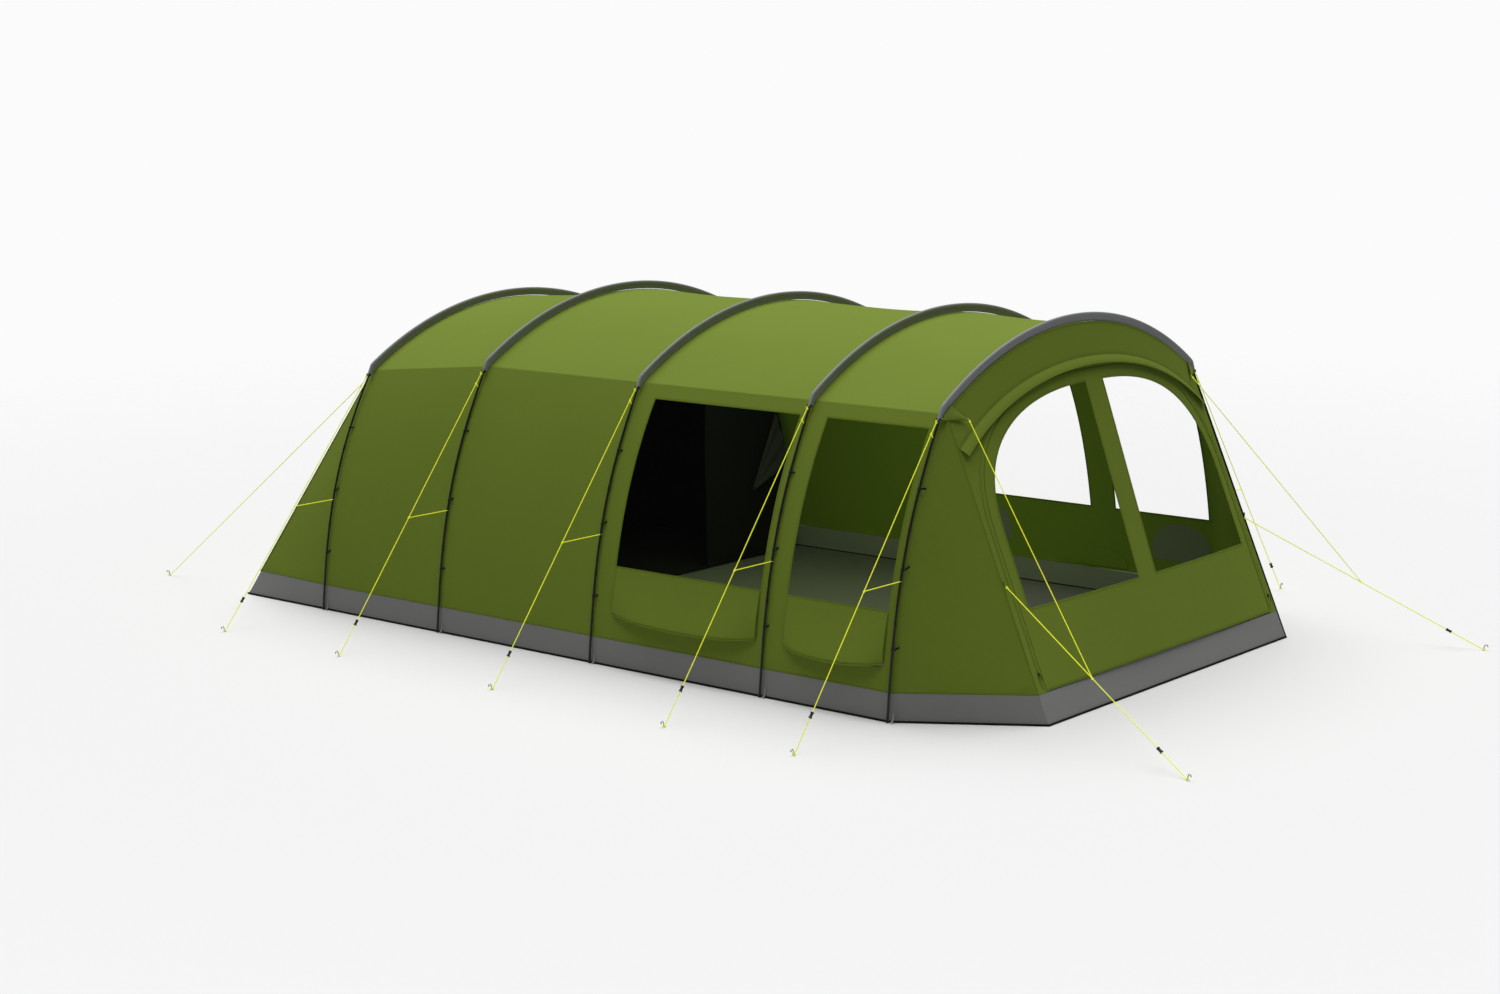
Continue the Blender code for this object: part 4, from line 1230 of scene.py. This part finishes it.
class TENT_OT_vents(bpy.types.Operator):
    """Make the hooded flaps that hang over the vents"""

    bl_idname = "tent.vents"
    bl_label = "Vent flaps"

    def execute(self, context):
        for name, side in SIDES.items():
            for number, span in enumerate(WINDOW_X, 1):
                self.vent(name, side, number, span, context.scene.tent_sizes)
        return {"FINISHED"}

    def vent(self, name, side, number, span, sizes):
        body = f"{name}_vent_{number}"
        a, b = span

        def place(u, v):
            across = 2 * (u - a) / (b - a) - 1
            hem = 0.320 - 0.034 * (1 - across**2)
            z = blend(VENT_TOP_Z, hem, v)
            swell = blend(0.005, 0.052, v**1.5) * blend(1.0, 1 - 0.86 * abs(across) ** 4, v)
            return Vector((u, side * (wall_y(z) + swell), z))

        shape, area = draped(lambda share, v: place(blend(a, b, share), v), 28, 10, (0, side, 0), sizes.cloth)
        flap = piece(f"vent_flap_{name}_{number}", *shape, "Coated polyester", body, 50, "wall_fabric")
        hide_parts(body)
        shapes = [tape([place(u, 0.975) for u in between(a, b, 28)], [(0, side, -0.35)] * 29, sizes.seam, 0.0010)]
        for end in (a + 0.006, b - 0.006):
            shapes.append(tape([place(end, v) for v in between(0.03, 0.97, 8)], [(0, side, 0.1)] * 9, 0.008, 0.0005))
        piece(f"vent_hem_{name}_{number}", *joined(*shapes), "Sewn polyester hem", body, slot="wall_fabric")


# ---------------------------------------------------------------- the front


def arch_loop(half, top, bottom, grow=0.0):
    """The door's outline, or a larger one, as (y, z): a flattened arch on straight sides."""
    made = arch_outline(half + grow, top + grow)
    return made + [Vector((-half - grow, bottom - grow)), Vector((half + grow, bottom - grow))]


def pane_loop(side, grow=0.0):
    """A door window's outline, as (y, z)."""
    half, inner = PANE_HALF + grow, DIVIDER_HALF - grow
    steps = 24
    made = []
    start = math.acos((inner / half) ** (ARCH_POWER / 2))
    for step in range(steps + 1):
        turn = start * step / steps
        y = half * math.cos(turn) ** (2 / ARCH_POWER)
        made.append(Vector((side * y, SPRING_Z + (PANE_TOP_Z + grow - SPRING_Z) * math.sin(turn) ** (2 / ARCH_POWER))))
    return made + [Vector((side * inner, PANE_BOTTOM_Z - grow)), Vector((side * half, PANE_BOTTOM_Z - grow))]


def hood_line(y, below=0.0):
    """A point of the hood's line over the door, and a lower one alongside it, as (y, z)."""
    z = HOOD_TOP_Z - HOOD_BOW[0] * y**2 - HOOD_BOW[1] * y**4
    slope = -2 * HOOD_BOW[0] * y - 4 * HOOD_BOW[1] * y**3
    inward = Vector((slope, -1)).normalized() * below
    return y + inward.x, z + inward.y


class TENT_OT_front(bpy.types.Operator):
    """Make the sloping front round the door, its storm hood and the wing patches"""

    bl_idname = "tent.front"
    bl_label = "Front and hood"

    def execute(self, context):
        sizes = context.scene.tent_sizes
        self.surround(sizes)
        self.hood()
        for name, side in SIDES.items():
            self.wing(name, side)
        return {"FINISHED"}

    def surround(self, sizes):
        edge = [(front_corner(1, z).y - 0.001, z) for z in (WALL_BOTTOM_Z, 0.5, 1.0, 1.4, WALL_TOP_Z - 0.004)]
        over = [(y, roof_z(y) - 0.0035) for y in (SHOULDER_Y * math.cos(math.pi * step / 40) for step in range(1, 40))]
        inner = arch_outline(DOOR_HALF + 0.006, DOOR_TOP_Z + 0.006, 40)[::-1]
        outline = [Vector(p) for p in edge + over + [(-y, z) for y, z in edge[::-1]]]
        outline += [Vector((-DOOR_HALF - 0.006, WALL_BOTTOM_Z))] + inner + [Vector((DOOR_HALF + 0.006, WALL_BOTTOM_Z))]
        made = panel("front", outline, [], front_point, (1, 0, 0), "Coated polyester", slot="wall_fabric",
                     spacing=0.05)
        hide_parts("front_surround")
        line = [front_point(y, z) for y, z in over]
        seam = tape(line, [front_normal(y, z - 0.02) for y, z in over], sizes.seam)
        piece("front_seam", *seam, "Sewn polyester hem", slot="wall_fabric")
        coil, flap = self.arch(ZIP_OUT, 0.0006), self.arch(ZIP_OUT - 0.017, 0.0012)
        out = [front_normal(p.y, min(p.z, 1.75)) for p in coil]
        piece("zip_coil", *rod(coil, 0.0016, 8), "Dyed nylon", slot="zip_metal")
        piece("zip_flap", *tape(flap, out, 0.020, 0.0007), "Coated polyester", slot="wall_fabric")
        piece("zip_facing", *tape(self.arch(0.003, -0.0050), out, 0.022, 0.0012), "Coated polyester",
              slot="wall_fabric")

    def arch(self, grow, out):
        """A line that runs round the door, outside its edge by grow."""
        levels = (0.19, 0.32, 0.45, 0.58, 0.71, 0.84, 0.93)
        made = [Vector((DOOR_HALF + grow, z)) for z in levels] + arch_outline(DOOR_HALF + grow, DOOR_TOP_Z + grow, 40)
        made += [Vector((-DOOR_HALF - grow, z)) for z in levels[::-1]]
        return [front_point(p.x, p.y, out) for p in made]

    def hood(self):
        def place(across, share, under=0.0):
            y, z = hood_line(across * HOOD_HALF, 0.045 * share)
            out = blend(0.0045, 0.028, math.sin(share * math.pi / 2))
            return front_point(y, z, out - under)

        shape, area = draped(lambda along, share: place(2 * along - 1, share), 60, 6, (1, 0, 0), 0.0022)
        made = piece("hood", *shape, "Coated polyester", smooth=50, slot="wall_fabric")
        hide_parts("storm_hood")
        bead = rod([place(across, 0.985, 0.001) for across in between(-1, 1, 60)], 0.0030, 8)
        base = [place(across, 0.0) + Vector((-0.0025, 0, 0.004)) for across in between(-1, 1, 60)]
        seam = tape(base, [front_normal(p.y, p.z) for p in base], 0.012)
        piece("hood_hem", *joined(bead, seam), "Sewn polyester hem", slot="wall_fabric")

    def wing(self, name, side):
        """A three-cornered patch that stands off the front, from the last sleeve's end to its guy line."""
        x = ARCH_X[4] + 0.0135
        tip = Vector((FRONT_RING[0] - 0.004, side * (FRONT_RING[1] + 0.004), FRONT_RING[2]))
        high = Vector((x, *arch_point(side * KINK_ANGLE * 0.955, 0.045, 0)))
        low = Vector((x, *arch_point(side * KINK_ANGLE * 1.09, 0.020, 0)))
        steps = 8
        verts = []
        for row in range(steps):
            a, b = high.lerp(tip, row / steps), low.lerp(tip, row / steps)
            for column in range(steps + 1):
                point = a.lerp(b, column / steps)
                point.x += 0.006 * math.sin(math.pi * row / steps) * math.sin(math.pi * column / steps)
                verts.append(point)
        last = (steps - 1) * (steps + 1)
        faces = [(at, at + 1, at + steps + 2, at + steps + 1)
                 for row in range(steps - 1) for at in range(row * (steps + 1), row * (steps + 1) + steps)]
        faces += [(at, at + 1, len(verts)) for at in range(last, last + steps)]
        verts.append(tip)
        faces = facing(verts, faces, (1, 0, 0))
        area = area_of(verts, faces)
        made = piece(f"wing_patch_{name}", *thickened(verts, faces, 0.0022), "Coated polyester", smooth=50,
                     slot="wall_fabric")
        ring = ring_shape(tip + Vector((0.002, -side * 0.002, 0)), (1, 0, 0.3), 0.0075, 0.0020)
        wing = Vector((WING_RING[0], side * WING_RING[1], WING_RING[2]))
        foot = front_corner(side, WING_RING[2])
        out = (wing - foot).normalized()
        strap = tape([foot + Vector((0, 0, 0.030)) + out * 0.001, foot + out * 0.003, wing - out * 0.002],
                     [Vector((0.3, side * 0.95, 0))] * 3, 0.012, 0.0016)
        second = ring_shape(wing, (0, 0, 1), 0.0065, 0.0016)
        piece(f"wing_rings_{name}", *joined(ring, second), "Zinc-plated steel", slot="pole_steel")
        piece(f"wing_strap_{name}", *strap, "Sewn polyester hem", slot="sleeve_fabric")


class TENT_OT_door(bpy.types.Operator):
    """Make the front door with its two windows, and the sliders of its zip"""

    bl_idname = "tent.door"
    bl_label = "Front door"

    def execute(self, context):
        sizes = context.scene.tent_sizes
        holes = [pane_loop(side) for side in SIDES.values()]
        made = panel("door_panel", arch_loop(DOOR_HALF, DOOR_TOP_Z, DOOR_BOTTOM_Z), holes, front_point, (1, 0, 0),
                     "Coated polyester", "door", slot="wall_fabric", spacing=0.06)
        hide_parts("front_door")
        for name, side in SIDES.items():
            film = panel(f"door_film_{name}", pane_loop(side, 0.010), [], lambda y, z: front_point(y, z, -0.0045),
                         (1, 0, 0), "Clear PVC film", "door", sizes.film, slot="window_film")
            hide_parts(f"door_window_{name}")
            loop = dense(pane_loop(side, 0.006), 0.05)
            binding = front_tape(loop, sizes.seam, 0.0010, True)
            piece(f"door_binding_{name}", *binding, "Sewn polyester hem", "door", slot="wall_fabric")
            self.slider(name, side)
        hinge = [(y, DOOR_BOTTOM_Z + 0.010) for y in between(-DOOR_HALF + 0.02, DOOR_HALF - 0.02, 40)]
        piece("door_fold_seam", *front_tape(hinge, sizes.seam), "Sewn polyester hem", "door", slot="wall_fabric")
        return {"FINISHED"}

    def slider(self, name, side):
        """A zip slider with a waisted body, a bridge and a long pull with a rounded end."""
        body = f"zip_slider_{name}"
        spot = front_point(side * (DOOR_HALF + ZIP_OUT), 0.270, 0.008)
        up = (front_point(side * (DOOR_HALF + ZIP_OUT), 0.77, 0.008) - spot).normalized()
        turn = to_axis(up)
        shapes = [softened_box((0.0055, 0.012, 0.022), spot, turn, 0.3)]
        bridge = [spot + turn @ Vector(p) for p in ((0.002, 0, 0.008), (0.0055, 0, 0.007), (0.0065, 0, 0),
                                                    (0.0055, 0, -0.007), (0.002, 0, -0.008))]
        shapes.append(rod(bridge, 0.0014, 8))
        shapes.append(ring_shape(spot + turn @ Vector((0.0075, 0, -0.010)), turn @ Vector((1, 0, 0.2)), 0.0035, 0.0011,
                                 16, 6, 1.4, turn @ Vector((0, 0, 1))))
        pull = [spot + turn @ Vector((0.0078, 0, -0.013 - 0.026 * step / 6)) for step in range(7)]
        shapes.append(tape(pull, [turn @ Vector((1, 0, 0))] * 7, 0.0075, 0.0022))
        made = piece(f"slider_{name}", *joined(*shapes), "Enamelled zinc", body, 35, "zip_metal")
        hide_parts(body)


# ---------------------------------------------------------------- groundsheet and bedrooms


def tub_ring(height):
    """The groundsheet's outline at a height, with points put in along each edge."""
    made = []
    for side in (-1, 1):
        line = [rear_corner(side, height)]
        line += [Vector((ARCH_X[0], side * wall_y(height), height)), Vector((ARCH_X[4], side * wall_y(height), height))]
        line.append(front_corner(side, height))
        made += line if side < 0 else line[::-1]
    return made


class TENT_OT_groundsheet(bpy.types.Operator):
    """Make the groundsheet: the floor, the low walls of the tub and the edge trim, drawn thick so that it is painted
    contact shade too
    """

    bl_idname = "tent.groundsheet"
    bl_label = "Groundsheet"

    def execute(self, context):
        levels = (0.0012, 0.004, 0.03, 0.07, 0.11, 0.15, TUB_Z)
        steps_of = [max(2, round((b - a).length / 0.12)) for a, b in around(tub_ring(0.0))]
        rings = [[a.lerp(b, step / steps) for (a, b), steps in zip(around(tub_ring(level)), steps_of)
                  for step in range(steps)] for level in levels]
        verts = []
        for points in zip(*rings):
            for level, point in zip(levels, points):
                centre = Vector((point.x, point.y, 0)).normalized()
                soft = math.sin(math.pi * min(1.0, level / TUB_Z)) * 0.0030
                verts.append(point - centre * soft * (0.5 + noise.noise(Vector((point.x * 2.1, point.y * 2.1, 3)))))
        faces = grid_faces(len(rings[0]), len(levels), closed=True)
        if sum((geometry.normal([verts[at] for at in f]).dot(verts[f[0]] * Vector((1, 1, 0))) for f in faces)) < 0:
            faces = [face[::-1] for face in faces]
        area = area_of(verts, faces)
        thick = thickened(verts, faces, 0.0020)
        tub = piece("tub_wall", *thick, "Laminated polyethylene", smooth=50, slot="groundsheet_sheet")
        length = sum((a - b).length for a, b in around(rings[0]))
        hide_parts("groundsheet")
        outline = [Vector((p.x * 0.9985, p.y * 0.9985)) for p in tub_ring(0.0)]

        def floor_at(x, y):
            return Vector((x, y, 0.0031 + 0.0012 * noise.noise(Vector((x * 3, y * 3, 1)))))

        # The floor inside wears the darkened sheet colour: painted shade for the closed tent.
        floor = panel("tub_floor", outline, [], floor_at, (0, 0, 1), "Laminated polyethylene in painted shade", thickness=0.0018,
                      spacing=0.16, slot="groundsheet_sheet")
        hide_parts("groundsheet")
        # Black piping round the tub's foot, 6 mm in radius: partly a real trim, partly painted shade standing for the
        # dark contact shade under the edge.
        line = [Vector((p.x, p.y, 0.0064)) + Vector((p.x, p.y, 0)).normalized() * 0.0005 for p in rings[0]]
        piece("edge_piping_and_shade", *rod(line, 0.0060, 8, closed=True), "Nylon webbing", slot="sleeve_fabric")
        return {"FINISHED"}


class TENT_OT_bedroom(bpy.types.Operator):
    """Make the sleeping room across the back, with a door tied to one side"""

    bl_idname = "tent.bedroom"
    bl_label = "Bedroom"

    def execute(self, context):
        self.room()
        self.curtain()
        return {"FINISHED"}

    def room(self):
        """A box drawn out to the tunnel's shape, its sides drawn in a little between their corners."""
        verts, faces, index = [], [], {}
        for axis, sign, i, j in product(range(3), (-0.5, 0.5), range(ROOM_CELLS), range(ROOM_CELLS)):
            ring = []
            for di, dj in ((0, 0), (1, 0), (1, 1), (0, 1)):
                point = Vector()
                point[axis] = sign
                point[(axis + 1) % 3] = (i + di) / ROOM_CELLS - 0.5
                point[(axis + 2) % 3] = (j + dj) / ROOM_CELLS - 0.5
                ring.append(point)
            middle = sum(ring, Vector()) / 4
            if middle.x > 0.49 and abs(middle.y) < 0.18 and middle.z < 0.30:
                continue  # the doorway
            face = []
            for point in ring:
                key = tuple(round(value * 1000) for value in point)
                if key not in index:
                    index[key] = len(verts)
                    verts.append(point)
                face.append(index[key])
            faces.append(tuple(face if sign > 0 else face[::-1]))
        placed = [self.room_point(*(value + 0.5 for value in vertex)) for vertex in verts]
        area = area_of(placed, faces)
        made = piece("inner_tent", *thickened(placed, faces, 0.0020), "Breathable polyester", smooth=50,
                     slot="bedroom_fabric")
        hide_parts("main_bedroom")

    def room_point(self, a, b, c):
        """Where the point of a unit box goes in the hung bedroom."""
        edge = [4 * value * (1 - value) for value in (a, b, c)]
        half = wall_y(0) - ROOM_GAP
        x, y = blend(*BEDROOM_X, a), blend(-half, half, b)
        ceiling = roof_z(min(abs(y), SHOULDER_Y)) - ROOM_HEADING - max(0.0, abs(y) - SHOULDER_Y)
        ceiling -= LOW_ARCH_DROP * lowering(x)
        if c > 0.999:
            ceiling -= 0.030 * edge[0] * edge[1]
        z = blend(0.012, ceiling, c)
        out = wall_y(min(z, SHOULDER_Z)) - ROOM_GAP
        y = max(-out, min(out, y))
        pull = 0.018 * (1 + 0.6 * noise.noise(Vector((a * 5, b * 5, c * 5))))
        if b < 0.001 or b > 0.999:
            y -= math.copysign(pull * edge[0] * edge[2], b - 0.5)
        if a < 0.001 or a > 0.999:
            x -= math.copysign(pull * edge[1] * edge[2], a - 0.5)
        return Vector((x + ROOM_SLOPE * c * (1 - a) ** 2, y, z))

    def curtain(self):
        """The bedroom's inner door, drawn to one side in folds and tied with a toggle."""
        tip, high, low = Vector((1.222, 0.510)), Vector((1.505, 1.070)), Vector((1.625, 0.700))

        def place(along, across):
            fan = tip.lerp(high.lerp(low, across), blend(0.06, 1.0, along))
            fold = 0.006 * math.sin(across * 5 * math.pi) * along
            return Vector((BEDROOM_X[1] + 0.040 + fold + 0.05 * along * across, fan.x, fan.y))

        shape, area = draped(place, 24, 18, (1, 0, 0), 0.0012)
        made = piece("inner_door", *shape, "Mosquito netting", smooth=60, slot="bedroom_fabric")
        ring = ring_shape(place(0.02, 0.5), (0, tip.x - low.x, tip.y - low.y), 0.012, 0.003)
        piece("door_tie", *ring, "Nylon webbing", slot="sleeve_fabric")


# ---------------------------------------------------------------- panel and registration


PIECES = (TENT_OT_stage, TENT_OT_guy_lines, TENT_OT_poles, TENT_OT_sleeves, TENT_OT_roof, TENT_OT_walls,
          TENT_OT_vents, TENT_OT_front, TENT_OT_door, TENT_OT_groundsheet, TENT_OT_bedroom)


class TENT_PT_sidebar(bpy.types.Panel):
    """Lists the tent's sizes, colours and pieces"""

    bl_idname = "TENT_PT_sidebar"
    bl_label = "Tunnel tent"
    bl_space_type = "VIEW_3D"
    bl_region_type = "UI"
    bl_category = "Tent"

    def draw(self, context):
        for group in (context.scene.tent_sizes, context.scene.tent_colours):
            for name in group.bl_rna.properties.keys():
                if name not in ("rna_type", "name"):
                    self.layout.prop(group, name)
        for operator in PIECES:
            self.layout.operator(operator.bl_idname)


CLASSES = (TentSizes, TentColours, *PIECES, TENT_PT_sidebar)


def register():
    for one in CLASSES:
        bpy.utils.register_class(one)
    bpy.types.Scene.tent_sizes = bpy.props.PointerProperty(type=TentSizes)
    bpy.types.Scene.tent_colours = bpy.props.PointerProperty(type=TentColours)


def unregister():
    del bpy.types.Scene.tent_colours
    del bpy.types.Scene.tent_sizes
    for one in reversed(CLASSES):
        bpy.utils.unregister_class(one)


def main():
    register()
    make_materials(bpy.context.scene.tent_colours)
    for operator in PIECES:
        group, name = operator.bl_idname.split(".")
        getattr(getattr(bpy.ops, group), name)()


if __name__ == "__main__":
    main()
